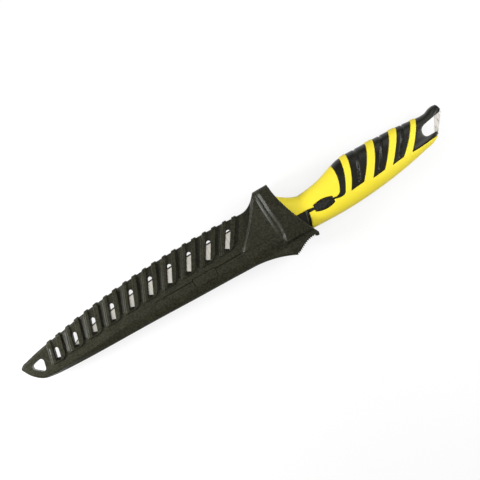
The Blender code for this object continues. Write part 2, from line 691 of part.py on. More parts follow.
def pad_outline(k):
    # A U round the slot: two ribs that run on over the edge side, joined below the slot.
    (foot_x, foot_y), top, lean = slot_axis(k)
    high = case_edge(foot_x) + 6
    low = foot_y - PAD_FOOT + SLOT_WIDTH / 2

    def at(offset, y):
        return (foot_x + offset + lean * (y - foot_y), y)

    wide, channel = PAD_WIDTH / 2, PAD_CHANNEL / 2
    return [
        at(-wide, low + 0.8), at(-wide + 0.8, low - 0.1), at(wide - 0.8, low + 0.5), at(wide, low + 1.4),
        at(wide, high), at(channel, high), at(channel, foot_y + 0.3), at(0, foot_y - 0.5),
        at(-channel, foot_y + 0.3), at(-channel, high), at(-wide, high),
    ]


def tooth_cutters():
    # Notches across the thumb ramp.
    deep, wide = TOOTH_DEPTH, TOOTH_WIDTH / 2
    cutters = []
    for k in range(TOOTH_COUNT):
        x = RAMP_START + 1.4 + (RAMP_LENGTH - 1.8) * k / (TOOTH_COUNT - 1)
        y = sheath_bottom(x)
        notch = [(-1.3, -1.2), (1.3, -1.2), (1, 0.2), (0, deep), (-1, 0.2)]
        outline = [(x + share * wide, y + up) for share, up in notch]
        cutters.append(prism("notch", outline, -COLLAR_HALF, COLLAR_HALF))
    return joined("notches", cutters)


def cavity():
    # Room for the blade, and the throat that the guard slides through.
    start = -REACH + CAVITY_START
    xs = np.linspace(start, -2, 16)
    outline = [(x, case_edge(x) - CAVITY_RIM) for x in xs] + [(0, THROAT_HIGH - 4), (0, THROAT_LOW + 4)]
    outline += [(x, case_spine(x) + CAVITY_RIM) for x in xs[::-1]]
    deep = BLADE_THICKNESS / 2 + BLADE_PLAY
    room = prism("room", outline, -deep, deep)
    throat = loft("throat", [egg(x, THROAT_LOW, THROAT_HIGH, THROAT_HALF) for x in (-FIT, 40 * HANDLE_ALONG)])
    combine(room, "UNION", throat)
    return room


def make_sheath():
    shells = []
    reach = COLLAR_HALF
    for name, side in (("sheath_front_shell", 1), ("sheath_back_shell", -1)):
        shell = sheath_form(name, side, case_columns() + collar_columns())
        pads = joined("pads", [prism("pad", pad_outline(k), -reach, reach) for k in range(SLOT_COUNT)])
        combine(pads, "INTERSECT", sheath_form("raised", side, case_columns(), PAD_RAISE))
        combine(shell, "UNION", pads)
        holes = [capsule(*slot_axis(k)[:2], SLOT_WIDTH) for k in range(SLOT_COUNT)]
        holes.append(rounded(scaled(TIP_HOLE_DRAWN, CASE_ALONG, BLADE_ACROSS), TIP_HOLE_RADIUS))
        combine(shell, "DIFFERENCE", joined("holes", [prism("hole", hole, -reach, reach) for hole in holes]))
        combine(shell, "DIFFERENCE", cavity())
        combine(shell, "DIFFERENCE", tooth_cutters())
        shells.append(shell)
    return shells


# Belt clip, on the back

CLIP_SEAT = -COLLAR_HALF - FIT
CLIP_INNER = CLIP_SEAT - CLIP_LIFT
CLIP_OUTER = CLIP_INNER - CLIP_THICKNESS
SCREW_X = CLIP_FRONT + SCREW_INSET


def make_clip():
    # The leaf's profile along X and Z bends in to nip the case and out again at its end.
    half_width = CLIP_WIDTH / 2
    low, high = CLIP_MIDDLE - half_width, CLIP_MIDDLE + half_width
    base_outline = [
        (CLIP_FRONT, low), (CLIP_FRONT + CLIP_BASE_LENGTH * 0.7, low),
        (CLIP_FRONT + CLIP_BASE_LENGTH * 0.45, high), (CLIP_FRONT, high),
    ]
    base = prism("clip_base", rounded(base_outline, 1.2, 3), CLIP_OUTER, CLIP_SEAT)
    near = -CASE_HALF - PAD_RAISE - CLIP_NIP
    inner = [(CLIP_FRONT - FIT, CLIP_INNER), (-CLIP_REACH, CLIP_INNER), (-CLIP_REACH - 5, CLIP_INNER + 1.2)]
    inner += [(-CLIP_REACH - on, near - back) for on, back in ((11, 0.4), (13, 0), (15, 0.4), (20, 2.6))]
    outer = [(x + 0.15 * CLIP_THICKNESS, z - CLIP_THICKNESS) for x, z in inner]
    outer[0] = (CLIP_FRONT - FIT, CLIP_OUTER)
    profile = inner + outer[::-1]
    leaf = prism("belt_clip", profile, -half_width, half_width)
    for vertex in leaf.data.vertices:
        x, z, y = vertex.co
        narrow = 1 - 0.22 * min(1, max(0, -x / MM / CLIP_REACH))
        vertex.co = (x, y * narrow + CLIP_MIDDLE * MM, z)
    shape = bmesh.new()
    shape.from_mesh(leaf.data)
    bmesh.ops.recalc_face_normals(shape, faces=shape.faces)
    shape.to_mesh(leaf.data)
    shape.free()
    return base, leaf


def make_screws(base, shell):
    screws = []
    recess = CLIP_OUTER + SCREW_HEAD_HEIGHT + FIT
    shank_end = CLIP_SEAT + FIT + SCREW_BITE
    wide, head_wide = SCREW_RADIUS + FIT, SCREW_HEAD_RADIUS + FIT
    for name, place in (("clip_screw_low", -0.25), ("clip_screw_high", 0.25)):
        y = CLIP_MIDDLE + place * CLIP_WIDTH
        combine(base, "DIFFERENCE", pin("hole", SCREW_X, y, wide, CLIP_OUTER - 1, CLIP_SEAT + 1))
        combine(base, "DIFFERENCE", pin("recess", SCREW_X, y, head_wide, CLIP_OUTER - 1, recess))
        combine(shell, "DIFFERENCE", pin("bore", SCREW_X, y, wide, CLIP_SEAT - 1, shank_end + FIT))
        screw = pin(name, SCREW_X, y, SCREW_HEAD_RADIUS, recess - FIT - SCREW_HEAD_HEIGHT, recess - FIT)
        shank = pin("shank", SCREW_X, y, SCREW_RADIUS, recess - 2 * FIT, shank_end)
        combine(screw, "UNION", shank)
        screws.append(screw)
    return screws


def stand_on_floor(pieces):
    # The origin is under the middle of the whole object, which lies on its clip.
    corners = np.array([piece.matrix_world @ vertex.co for piece in pieces for vertex in piece.data.vertices])
    low, high = corners.min(axis=0), corners.max(axis=0)
    shift = np.array([(low[0] + high[0]) / 2, (low[1] + high[1]) / 2, low[2]])
    for piece in pieces:
        piece.location = tuple(np.array(piece.location) - shift)
    return shift


def main():
    for thing in list(bpy.data.objects):
        bpy.data.objects.remove(thing)
    blade = make_blade()
    core, *grips = make_handle()
    front_shell, back_shell = make_sheath()
    base, leaf = make_clip()
    screws = make_screws(base, back_shell)
    finish(blade, paint("steel"), 20)
    finish(core, paint("yellow"))
    for piece in grips:
        finish(piece, paint("rubber"))
    finish(front_shell, paint("sheath"), 28)
    finish(back_shell, paint("sheath"), 28)
    finish(base, paint("clip"))
    finish(leaf, paint("clip"))
    for screw in screws:
        finish(screw, paint("screw"))
    shift = stand_on_floor([blade, core, *grips, front_shell, back_shell, base, leaf, *screws])
    print("the guard's centre line lies at", [round(-move / MM, 3) for move in shift], "mm")


main()
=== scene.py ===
# A fillet knife in its vented belt sheath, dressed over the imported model.
# Points are worked out in millimetres from the middle of the guard's front face:
# x towards the butt, y from the spine towards the cutting edge, z out of the front.
import bmesh
import bpy
import math
import numpy as np
from mathutils import Matrix, Vector


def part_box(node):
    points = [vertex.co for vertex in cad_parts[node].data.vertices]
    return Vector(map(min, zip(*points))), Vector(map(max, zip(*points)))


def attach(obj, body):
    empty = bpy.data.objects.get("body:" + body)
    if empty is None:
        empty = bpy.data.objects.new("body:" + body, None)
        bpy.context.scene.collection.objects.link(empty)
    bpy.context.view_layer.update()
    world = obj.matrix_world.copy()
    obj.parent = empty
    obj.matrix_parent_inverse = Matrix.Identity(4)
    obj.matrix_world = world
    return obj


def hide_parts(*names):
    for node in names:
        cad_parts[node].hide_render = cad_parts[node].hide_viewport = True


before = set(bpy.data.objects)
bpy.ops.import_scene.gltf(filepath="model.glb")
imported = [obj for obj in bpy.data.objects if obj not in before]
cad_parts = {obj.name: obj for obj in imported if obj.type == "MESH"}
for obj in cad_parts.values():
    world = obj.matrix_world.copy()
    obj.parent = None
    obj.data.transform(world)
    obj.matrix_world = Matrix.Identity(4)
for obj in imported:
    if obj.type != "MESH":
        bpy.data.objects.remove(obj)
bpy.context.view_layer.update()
print("frame loaded:", len(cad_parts), "nodes")

guard, mm = (28.0, 1.362, 15.017), 0.001  # the origin of the points below, and a millimetre
squareness = 2.4  # of the handle's and the throat's sections, where 2 is an ellipse


def fairLine(points):  # a smooth height over x through the points
    xs, ys = np.array(points, float).T
    slopes = np.gradient(ys, xs)

    def height(x):
        x = np.clip(x, xs[0], xs[-1])
        i = np.clip(np.searchsorted(xs, x, side="right") - 1, 0, len(xs) - 2)
        step = xs[i + 1] - xs[i]
        t = (x - xs[i]) / step
        start = (1 + 2 * t) * (1 - t) ** 2 * ys[i] + t * (1 - t) ** 2 * step * slopes[i]
        return start + t**2 * (3 - 2 * t) * ys[i + 1] + t**2 * (t - 1) * step * slopes[i + 1]

    return height


def creasedLine(points, where):  # two fair lines that meet in a crease
    before = fairLine([p for p in points if p[0] <= where])
    after = fairLine([p for p in points if p[0] >= where])
    return lambda x: np.where(np.asarray(x) < where, before(x), after(x))


def bowed(points):  # a quadratic curve from foot to top
    foot, middle, top = (np.array(p, float) for p in points)
    t = np.linspace(0, 1, 24)[:, None]
    return (1 - t) ** 2 * foot + 2 * t * (1 - t) * middle + t**2 * top


def lineOver(points):  # x as a function of y along points that rise in y
    points = np.array(sorted(map(tuple, points), key=lambda p: p[1]))
    return lambda y: np.interp(y, points[:, 1], points[:, 0])


def fairRun(points, steps=4):  # an open line, faired through its points
    points = np.array([points[0], *points, points[-1]], float)
    out = []
    for a, b, c, d in zip(points, points[1:], points[2:], points[3:]):
        for t in np.arange(steps) / steps:
            bend = (2 * a - 5 * b + 4 * c - d) * t**2 + (3 * b - a - 3 * c + d) * t**3
            out.append(0.5 * (2 * b + (c - a) * t + bend))
    return np.array(out + [points[-1]])


def roundedCorners(corners, radius, steps=6):  # an outline with an arc at each corner
    corners = [np.array(c, float) for c in corners]
    out = []
    for i, corner in enumerate(corners):
        before, after = corners[i - 1] - corner, corners[(i + 1) % len(corners)] - corner
        reach = min(np.linalg.norm(before), np.linalg.norm(after)) / 2
        before, after = before / np.linalg.norm(before), after / np.linalg.norm(after)
        half = math.acos(np.clip(before @ after, -1, 1)) / 2
        size = min(radius, reach * math.tan(half))
        centre = corner + (before + after) / np.linalg.norm(before + after) * size / math.sin(half)
        start = corner + before * size / math.tan(half) - centre
        end = corner + after * size / math.tan(half) - centre
        turn = math.atan2(start[0] * end[1] - start[1] * end[0], start @ end)
        for angle in np.linspace(0, turn, steps):
            c, s = math.cos(angle), math.sin(angle)
            out.append(centre + (c * start[0] - s * start[1], s * start[0] + c * start[1]))
    return np.array(out)


def ringAt(x, y, radius, sides=32):
    turn = np.linspace(0, 2 * math.pi, sides, endpoint=False)
    return np.stack([x + radius * np.cos(turn), y + radius * np.sin(turn)], axis=1)


def grown(outline, distance):  # an outline moved outwards
    points = np.array(outline, float)
    ahead = np.roll(points, -1, axis=0) - points
    area = np.sum(points[:, 0] * np.roll(points[:, 1], -1) - points[:, 1] * np.roll(points[:, 0], -1))
    ahead /= np.linalg.norm(ahead, axis=1)[:, None]
    normals = np.stack([ahead[:, 1], -ahead[:, 0]], axis=1) * (1 if area > 0 else -1)
    both = np.roll(normals, 1, axis=0) + normals
    return points + both * (2 / np.maximum(np.sum(both**2, axis=1), 0.5) * distance)[:, None]


def squaredReach(x, y, ax, ay, dx, dy):  # to the straight piece from a, as long as d
    t = np.clip(((x - ax) * dx + (y - ay) * dy) / max(dx * dx + dy * dy, 1e-12), 0, 1)
    return (x - ax - t * dx) ** 2 + (y - ay - t * dy) ** 2


def gapTo(outline, x, y):  # signed distance to an outline, negative inside
    best, inside = np.full(x.shape, 1e9), np.zeros(x.shape, bool)
    points = np.array(outline, float)
    for (ax, ay), (bx, by) in zip(points, np.roll(points, -1, axis=0)):
        best = np.minimum(best, squaredReach(x, y, ax, ay, bx - ax, by - ay))
        if ay != by:
            inside ^= ((ay > y) != (by > y)) & (x < ax + (y - ay) / (by - ay) * (bx - ax))
    return np.where(inside, -1, 1) * np.sqrt(best)


def gapToPath(path, x, y):  # distance to an open path
    return np.sqrt(np.min([squaredReach(x, y, ax, ay, bx - ax, by - ay)
                           for (ax, ay), (bx, by) in zip(path, path[1:])], axis=0))


def smooth(value, low, high):  # 0 below low, 1 above high
    t = np.clip((value - low) / (high - low), 0, 1)
    return t * t * (3 - 2 * t)


def rolled(gap, radius):  # how far a rounded edge of that radius lies below its face
    short = np.clip(radius - gap, 0, radius)
    return radius - np.sqrt(np.maximum(radius**2 - short**2, 0))


def squarish(value):  # a sine or cosine, pushed out towards the section's corners
    return np.sign(value) * np.abs(value) ** (2 / squareness)


def across(low, high, turn):  # the section's height at an angle
    return (low + high) / 2 + (high - low) / 2 * squarish(np.cos(turn))


def section(x, low, high, depth, sides=72):
    turn = np.linspace(0, 2 * math.pi, sides, endpoint=False)
    z = depth * squarish(np.sin(turn))
    return np.stack([np.full(sides, float(x)), across(low, high, turn), z], axis=1)


def linked(name, data):
    obj = bpy.data.objects.new(name, data)
    bpy.context.collection.objects.link(obj)
    return obj


def meshOf(name, points, faces=(), edges=()):
    mesh = bpy.data.meshes.new(name)
    mesh.from_pydata(((np.asarray(points, float) + guard) * mm).tolist(), edges, faces)
    return linked(name, mesh)


def pathOf(name, points):  # a mesh of edges only, for a tree to follow
    return meshOf(name, points, edges=[(k, k + 1) for k in range(len(points) - 1)])


def centred(obj):  # a form moved to the frame's origin, to be placed by a tree
    obj.data.transform(Matrix.Translation(-Vector(guard) * mm))
    return obj


def closed(obj):  # doubles merged, faces out
    form = bmesh.new()
    form.from_mesh(obj.data)
    bmesh.ops.remove_doubles(form, verts=form.verts, dist=0.002 * mm)
    bmesh.ops.recalc_face_normals(form, faces=form.faces)
    form.to_mesh(obj.data)
    form.free()
    return obj


def lofted(name, rings):  # a closed form through rings of as many points each
    count = len(rings[0])
    points = np.concatenate([np.asarray(ring, float) for ring in rings])
    faces = [tuple(range(count))[::-1], tuple(range(len(points) - count, len(points)))]
    for a in range(0, len(points) - count, count):
        b = a + count
        faces += [(a + i, a + (i + 1) % count, b + (i + 1) % count, b + i) for i in range(count)]
    return closed(meshOf(name, points, faces))


def prism(name, outline, low=-20, high=20):
    return lofted(name, [[(x, y, z) for x, y in outline] for z in (low, high)])


def plainMesh(obj):  # the object's evaluated mesh, without its modifiers
    bpy.context.view_layer.update()
    mesh = bpy.data.meshes.new_from_object(obj.evaluated_get(bpy.context.evaluated_depsgraph_get()))
    obj.modifiers.clear()
    obj.data = mesh
    return obj


def shape(target, operation, tool, keep=False):
    modifier = target.modifiers.new("shape", "BOOLEAN")
    modifier.operation, modifier.solver, modifier.object = operation, "MANIFOLD", tool
    plainMesh(target)
    if not keep:
        bpy.data.objects.remove(tool)
    return target


def cut(target, *tools, keep=False):
    for tool in tools:
        shape(target, "DIFFERENCE", tool, keep)


def eased(obj, width, segments=3, angle=40):  # a bevel on the crisp edges
    modifier = obj.modifiers.new("ease", "BEVEL")
    modifier.width, modifier.segments = width * mm, segments
    modifier.limit_method, modifier.angle_limit = "ANGLE", math.radians(angle)
    return plainMesh(obj)


def finished(obj, finish, body, nodes, angle):
    obj.data.name = obj.name
    obj.data.materials.clear()
    obj.data.materials.append(finishes[finish])
    obj.data.shade_smooth()
    obj.data.set_sharp_from_angle(angle=math.radians(angle))
    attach(obj, body)
    if nodes:
        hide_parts(*nodes)
    print("  ", obj.name, len(obj.data.polygons), "faces")


class nodeKit:  # a node tree of either sort, with short ways to fill it
    def __init__(self, tree):
        self.tree = tree

    def feed(self, socket, value):  # a link from another node, or a plain value
        if hasattr(value, "is_output"):
            self.tree.links.new(value, socket)
        else:
            socket.default_value = value

    def add(self, kind, settings=None, **sockets):  # n0 and n1 are sockets by number
        node = self.tree.nodes.new(kind)
        for key, value in (settings or {}).items():
            setattr(node, key, value)
        for key, value in sockets.items():
            self.feed(node.inputs[int(key[1:]) if key[1:].isdigit() else key.replace("_", " ")], value)
        return node.outputs

    def math(self, operation, a, b=0.0, c=0.0, clamp=False):
        settings = {"operation": operation, "use_clamp": clamp}
        return self.add("ShaderNodeMath", settings, n0=a, n1=b, n2=c)[0]

    def step(self, value, low, high, start=0.0, end=1.0):
        settings = {"interpolation_type": "SMOOTHSTEP"}
        return self.add("ShaderNodeMapRange", settings, n0=value, n1=low, n2=high, n3=start, n4=end)[0]

    def scaled(self, vector, by):
        return self.add("ShaderNodeVectorMath", {"operation": "SCALE"}, n0=vector, Scale=by)[0]

    def attribute(self, name, kind="FLOAT"):
        return self.add("GeometryNodeInputNamedAttribute", {"data_type": kind}, Name=name)[0]

    def close(self, geometry):  # real geometry and its material, as the last steps
        real = self.add("GeometryNodeRealizeInstances", Geometry=geometry)[0]
        painted = self.add("GeometryNodeSetMaterial", Geometry=real, Material=self.given["Finish"])
        self.feed(self.out["Geometry"], painted[0])
        return self.tree

    def point(self, scale=(1, 1, 1), turn=(0, 0, 0)):
        spot = self.add("ShaderNodeTexCoord")["Object"]
        return self.add("ShaderNodeMapping", Vector=spot, Scale=scale, Rotation=turn)[0]

    def noise(self, vector, scale, detail, rough):  # scale may name a size in millimetres
        if isinstance(scale, str):
            scale = self.math("DIVIDE", 1000, self.given[scale])
        return self.add("ShaderNodeTexNoise", Vector=vector, Scale=scale, Detail=detail, Roughness=rough)[0]

    def mix(self, factor, a, b):
        a, b = (value if hasattr(value, "is_output") else (*value, 1) for value in (a, b))
        return self.add("ShaderNodeMix", {"data_type": "RGBA"}, n0=factor, n6=a, n7=b)[2]

    def bump(self, height, given):
        distance = given["depth"] * mm
        return self.add("ShaderNodeBump", Height=height, Strength=given["bump"], Distance=distance)[0]

    def effect(self, name, **values):
        return self.add("ShaderNodeGroup", {"node_tree": effects[name]}, **values)


def newGroup(name, kind, inputs, outputs):  # a group with named sockets, numbers unless said
    tree = bpy.data.node_groups.new(name, kind + "NodeTree")
    for direction, sockets in (("INPUT", inputs), ("OUTPUT", outputs)):
        for label, given in sockets.items():
            sort, value = given if isinstance(given, tuple) else ("Float", given)
            socket = tree.interface.new_socket(label, in_out=direction, socket_type="NodeSocket" + sort)
            if value is not None:
                socket.default_value = value
    kit = nodeKit(tree)
    kit.given = tree.nodes.new("NodeGroupInput").outputs
    kit.out = tree.nodes.new("NodeGroupOutput").inputs
    return kit


def shapeGroup(name, inputs):
    geometry = {"Geometry": ("Geometry", None)}
    return newGroup(name, "Geometry", {**geometry, **inputs, "Finish": ("Material", None)}, geometry)


def applyTree(obj, tree, finish, values):  # a modifier's inputs go by their sockets' identifiers
    modifier = obj.modifiers.new(tree.name, "NODES")
    modifier.node_group = tree
    values = {**values, "Finish": finishes[finish]}
    for item in tree.interface.items_tree:
        if item.name in values:
            modifier[item.identifier] = values[item.name]
    return plainMesh(obj)


def pointAttribute(obj, name, values):
    values = np.asarray(values, np.float32)
    kind, field = ("FLOAT_VECTOR", "vector") if values.ndim > 1 else ("FLOAT", "value")
    obj.data.attributes.new(name, kind, "POINT").data.foreach_set(field, values.ravel())


def makeGrain():  # the fine spark-eroded texture of a moulding, its flecks and uneven clouds
    sizes = {"Grain Size": 0.4, "Fleck Size": 1.5, "Cloud Size": 9.0, "Pits": 0.5}
    kit = newGroup("mouldedGrain", "Shader", sizes, {"Height": 0.0, "Clouds": 0.0, "Flecks": 0.0})
    spot, given = kit.point(), kit.given
    fine = kit.noise(spot, "Grain Size", 3.0, 0.6)
    scale = kit.math("DIVIDE", 1300, given["Grain Size"])
    cells = kit.add("ShaderNodeTexVoronoi", Vector=spot, Scale=scale)["Distance"]
    pits = kit.math("MULTIPLY", kit.math("SUBTRACT", 1.0, cells), given["Pits"])
    kit.feed(kit.out["Height"], kit.math("SUBTRACT", fine, pits))
    kit.feed(kit.out["Flecks"], kit.step(kit.noise(spot, "Fleck Size", 2.0, 0.7), 0.36, 0.64))
    kit.feed(kit.out["Clouds"], kit.noise(spot, "Cloud Size", 5.0, 0.6))
    return kit.tree


def makeWearAndEdgeHighlight():  # convex edges made lighter, partly rubbed by use and partly a painted highlight, broken up by a noise
    sizes = {"Start": 0.52, "End": 0.62, "Break Up": 0.5, "Spot Size": 2.0}
    kit = newGroup("rubbedEdges", "Shader", sizes, {"Mask": 0.0})
    # Pointiness picks out convex edges; the mask lightens them, as wear and as a painted highlight
    edge = kit.add("ShaderNodeNewGeometry")["Pointiness"]
    spots = kit.step(kit.noise(kit.point(), "Spot Size", 4.0, 0.65), 0.35, 0.65)
    mask = kit.step(edge, kit.given["Start"], kit.given["End"])
    whole = kit.math("SUBTRACT", 1.0, kit.math("MULTIPLY", spots, kit.given["Break Up"]))
    kit.feed(kit.out["Mask"], kit.math("MULTIPLY", mask, whole, clamp=True))
    return kit.tree


def makeDust():  # a thin film that lies unevenly, and small specks
    sizes = {"Film": 0.3, "Specks": 0.3, "Film Size": 14.0, "Speck Size": 1.1}
    kit = newGroup("settledDust", "Shader", sizes, {"Mask": 0.0})
    spot = kit.point()
    film = kit.step(kit.noise(spot, "Film Size", 4.0, 0.6), 0.4, 0.75)
    specks = kit.step(kit.noise(spot, "Speck Size", 2.0, 0.5), 0.66, 0.74)
    both = [kit.math("MULTIPLY", film, kit.given["Film"]), kit.math("MULTIPLY", specks, kit.given["Specks"])]
    kit.feed(kit.out["Mask"], kit.math("ADD", *both, clamp=True))
    return kit.tree


def surface(name, roughness, metallic, specular):
    material = bpy.data.materials.new(name)
    material.use_nodes = True
    shader = material.node_tree.nodes["Principled BSDF"].inputs
    for label, value in (("Roughness", roughness), ("Metallic", metallic), ("Specular IOR Level", specular)):
        shader[label].default_value = value
    return material, nodeKit(material.node_tree), shader


def mouldedPlastic(name, given):  # one recipe for every moulded finish, with its own values
    material, kit, shader = surface(name, given["roughness"], 0.0, given["specular"])
    grain = kit.effect("grain", Grain_Size=given["grain"], Fleck_Size=given["fleckSize"],
                       Cloud_Size=given["clouds"], Pits=given["pits"])
    # the edge mask paints convex edges in the lighter worn colour: part wear, part painted highlight
    start, end, rubbedAndHighlit = given["wearAndHighlight"]
    wearAndHighlight = kit.effect("wearAndHighlight", Start=start, End=end, Break_Up=0.6)[0]
    dust = kit.effect("dust", Film=given["dust"][0], Specks=given["dust"][1])[0]
    clouds = kit.step(grain["Clouds"], 0.3, 0.7)
    tone = kit.math("MULTIPLY_ADD", kit.math("SUBTRACT", grain["Flecks"], clouds), given["flecks"], clouds)
    colour = kit.mix(tone, given["dark"], given["light"])
    colour = kit.mix(kit.math("MULTIPLY", wearAndHighlight, rubbedAndHighlit), colour, given["wornAndHighlit"])
    kit.feed(shader["Base Color"], kit.mix(dust, colour, given["dusty"]))
    least = given["roughness"] - given["spread"] / 2
    rough = kit.math("ADD", kit.math("MULTIPLY", clouds, given["spread"]), least)
    rough = kit.math("ADD", rough, kit.math("MULTIPLY", dust, 0.15), clamp=True)
    kit.feed(shader["Roughness"], rough)
    kit.feed(shader["Normal"], kit.bump(grain["Height"], given))
    return material


def brushedSteel(name, given):  # fine parallel lines with slow changes of tone
    material, kit, shader = surface(name, given["roughness"], 1.0, 0.5)
    lines = kit.noise(kit.point(given["lines"], (0, 0, given["turn"])), 1.0, 5.0, 0.7)
    tone = kit.noise(kit.point(), 55.0, 3.0, 0.5)
    spots = kit.effect("dust", Film=0.2, Specks=0.06, Film_Size=11.0, Speck_Size=1.6)[0]
    both = kit.math("ADD", kit.math("MULTIPLY", lines, 0.75), kit.math("MULTIPLY", tone, 0.25))
    colour = kit.mix(kit.step(both, 0.32, 0.68), given["dark"], given["light"])
    kit.feed(shader["Base Color"], kit.mix(kit.math("MULTIPLY", spots, 0.5), colour, given["stain"]))
    least, most = given["roughness"] - 0.08, given["roughness"] + 0.12
    kit.feed(shader["Roughness"], kit.step(lines, 0.25, 0.75, least, most))
    kit.feed(shader["Normal"], kit.bump(lines, given))
    return material


# each worn colour is the lighter tone put on convex edges, partly wear and partly a painted highlight
plastics = {
    "sheathPlastic": {
        "dark": (0.009, 0.009, 0.004), "light": (0.032, 0.0317, 0.019), "wornAndHighlit": (0.066, 0.065, 0.05),
        "dusty": (0.075, 0.075, 0.058), "roughness": 0.33, "spread": 0.08, "specular": 0.18, "grain": 0.8,
        "flecks": 0.75, "fleckSize": 1.15, "clouds": 10.0, "pits": 0.4, "wearAndHighlight": (0.53, 0.66, 0.3),
        "dust": (0.05, 0.08), "bump": 0.35, "depth": 0.07,
    },
    "handleYellow": {
        "dark": (0.93, 0.765, 0.036), "light": (0.955, 0.80, 0.048), "wornAndHighlit": (0.96, 0.84, 0.2),
        "dusty": (0.86, 0.76, 0.22), "roughness": 0.42, "spread": 0.08, "specular": 0.3, "grain": 0.7,
        "flecks": 0.3, "fleckSize": 2.0, "clouds": 18.0, "pits": 0.3, "wearAndHighlight": (0.52, 0.64, 0.25),
        "dust": (0.03, 0.05), "bump": 0.14, "depth": 0.08,
    },
    "gripRubber": {
        "dark": (0.006, 0.006, 0.0035), "light": (0.012, 0.0118, 0.0075), "wornAndHighlit": (0.045, 0.045, 0.036),
        "dusty": (0.06, 0.06, 0.05), "roughness": 0.27, "spread": 0.06, "specular": 0.32, "grain": 0.6,
        "flecks": 0.5, "fleckSize": 1.5, "clouds": 7.0, "pits": 0.5, "wearAndHighlight": (0.53, 0.66, 0.25),
        "dust": (0.04, 0.06), "bump": 0.3, "depth": 0.06,
    },
    "clipPlastic": {
        "dark": (0.010, 0.010, 0.0065), "light": (0.031, 0.0307, 0.0205), "wornAndHighlit": (0.068, 0.067, 0.054),
        "dusty": (0.075, 0.075, 0.06), "roughness": 0.42, "spread": 0.1, "specular": 0.25, "grain": 0.8,
        "flecks": 0.7, "fleckSize": 1.7, "clouds": 12.0, "pits": 0.4, "wearAndHighlight": (0.53, 0.64, 0.35),
        "dust": (0.05, 0.08), "bump": 0.45, "depth": 0.1,
    },
}
steels = {
    "bladeSteel": {
        "dark": (0.74, 0.71, 0.64), "light": (0.84, 0.81, 0.74), "stain": (0.66, 0.64, 0.58),
        "roughness": 0.3, "lines": (900.0, 60.0, 400.0), "turn": -0.52, "bump": 0.02, "depth": 0.02,
    },
    "screwSteel": {
        "dark": (0.40, 0.40, 0.40), "light": (0.58, 0.58, 0.57), "stain": (0.25, 0.24, 0.22),
        "roughness": 0.36, "lines": (2400.0, 900.0, 900.0), "turn": 0.0, "bump": 0.2, "depth": 0.03,
    },
}
effects = {"grain": makeGrain(), "wearAndHighlight": makeWearAndEdgeHighlight(), "dust": makeDust()}
finishes = {name: mouldedPlastic(name, given) for name, given in plastics.items()}
finishes.update({name: brushedSteel(name, given) for name, given in steels.items()})
print("materials ready:", len(finishes))


sheath = {
    "caseHalf": 3.6, "flangeHalf": 6.2, "bead": 0.35, "rounding": 1.7, "mouthRounding": 0.9, "parting": 0.06,
    "stepLine": -15.9, "stepSoft": (6.5, 1.0), "stepEnds": (-1.0, 2.6), "flareEnd": -1.4, "flareLength": 13.0,
    "dropLength": 30.5, "tipEnd": -168.0,
    "case": {
        "edge": [(-186.3, -1), (-185.9, -0.3), (-185, 0.5), (-181, 1.75), (-171, 4.1), (-151, 7.4),
                 (-136, 10.1), (-121, 12), (-105, 13.8), (-90, 15.05), (-75, 15.9), (-59, 16.3), (-44, 16.3),
                 (-29, 16), (-16, 15.3), (0, 15.1)],
        "spine": [(-186.3, -2.1), (-184.9, -5.1), (-183, -7.9), (-180, -10.9), (-177, -13), (-174, -14.1),
                  (-168, -15), (-162, -15.4), (-147, -16.1), (-129, -16.5), (-110, -16.75), (-96, -17),
                  (-66, -17.8), (-36, -18.45), (-26, -18.75), (0, -19.1)],
        "bevel": [(-186.3, -3), (-173, -13.2), (-156, -13), (-141, -12.4), (-126, -11.5), (-109, -10.2),
                  (-81, -10.2), (-40, -11), (0, -12)],
    },
    # the collar's outline lines, its cheek with the wall beside the crease, and the ear's top facet
    "crease": [(-6.8, -26), (-3, -23.2), (0, -20.3), (4, -16.7), (8, -13.4), (12, -10.3), (17, -6.6),
               (23.3, -2.3)],
    "ridge": [(-1.4, 23.3), (-1.3, 3), (0.8, -14)], "mouth": [(9, 23.3), (9.6, 6), (23.35, -19.5)],
    "firstStep": 0.45, "wall": (2.0, 2.8), "steep": 0.46, "crown": (1.2, 4, 20), "earFacet": (2.6, 0.75),
    # two curved steps between the ridge and the mouth
    "risers": (1.0, 1.3), "riserWidths": (1.9, 2.2), "firstRiser": 0.25,
    "secondRiser": [(-16, 1.0), (-14, 1.3), (-12, 1.9), (-10, 2.6), (-8, 2.9), (-6, 3.2), (-3, 3.4),
                    (0, 3.35), (4, 3.2), (8, 3.05), (14, 3.05), (19, 2.8), (23.5, 2.4)],
    # the facet along the case's lower side, from the tip to the collar
    "bevelDepth": 3.2, "bevelStart": (-177.0, -169.0), "bevelFade": (-125.0, -92.0),
    "lowDrop": 2.4, "lowFade": (-30.0, -5.0),
    # the toothed ramp and its nub, the hole in the tip and the engraved lines
    "ramp": [(4.5, 0), (6, 0.25), (9.2, 1.8), (12, 3.3), (15, 4.5), (18.2, 5.15), (20.2, 5.2), (20.9, 4.75),
             (21.6, 4.4), (22.4, 4.4), (23.0, 4.8), (23.35, 6.0)],
    "teeth": {"Count": 12, "Radius": 0.00072, "Sides": 6, "Stretch": (1.0, 1.5, 1.0)}, "toothed": (5.4, 20.0),
    "tipHole": [(-182.3, -3), (-170.3, -0.4), (-172.8, -10.9)], "tipHoleRounding": 2.1,
    "groove": (0.75, 0.7), "plateGroove": (0.55, 0.4), "line": [(-92, -6.75), (-26.9, -6.95)],
    "plate": (-62.6, -46.3, -12.3, -5.9),
    "cavity": {"start": 18.5, "rim": 2.4, "half": 1.5, "throat": (8.7, 2.9, 2.3), "throatEnds": (-0.3, 42)},
}
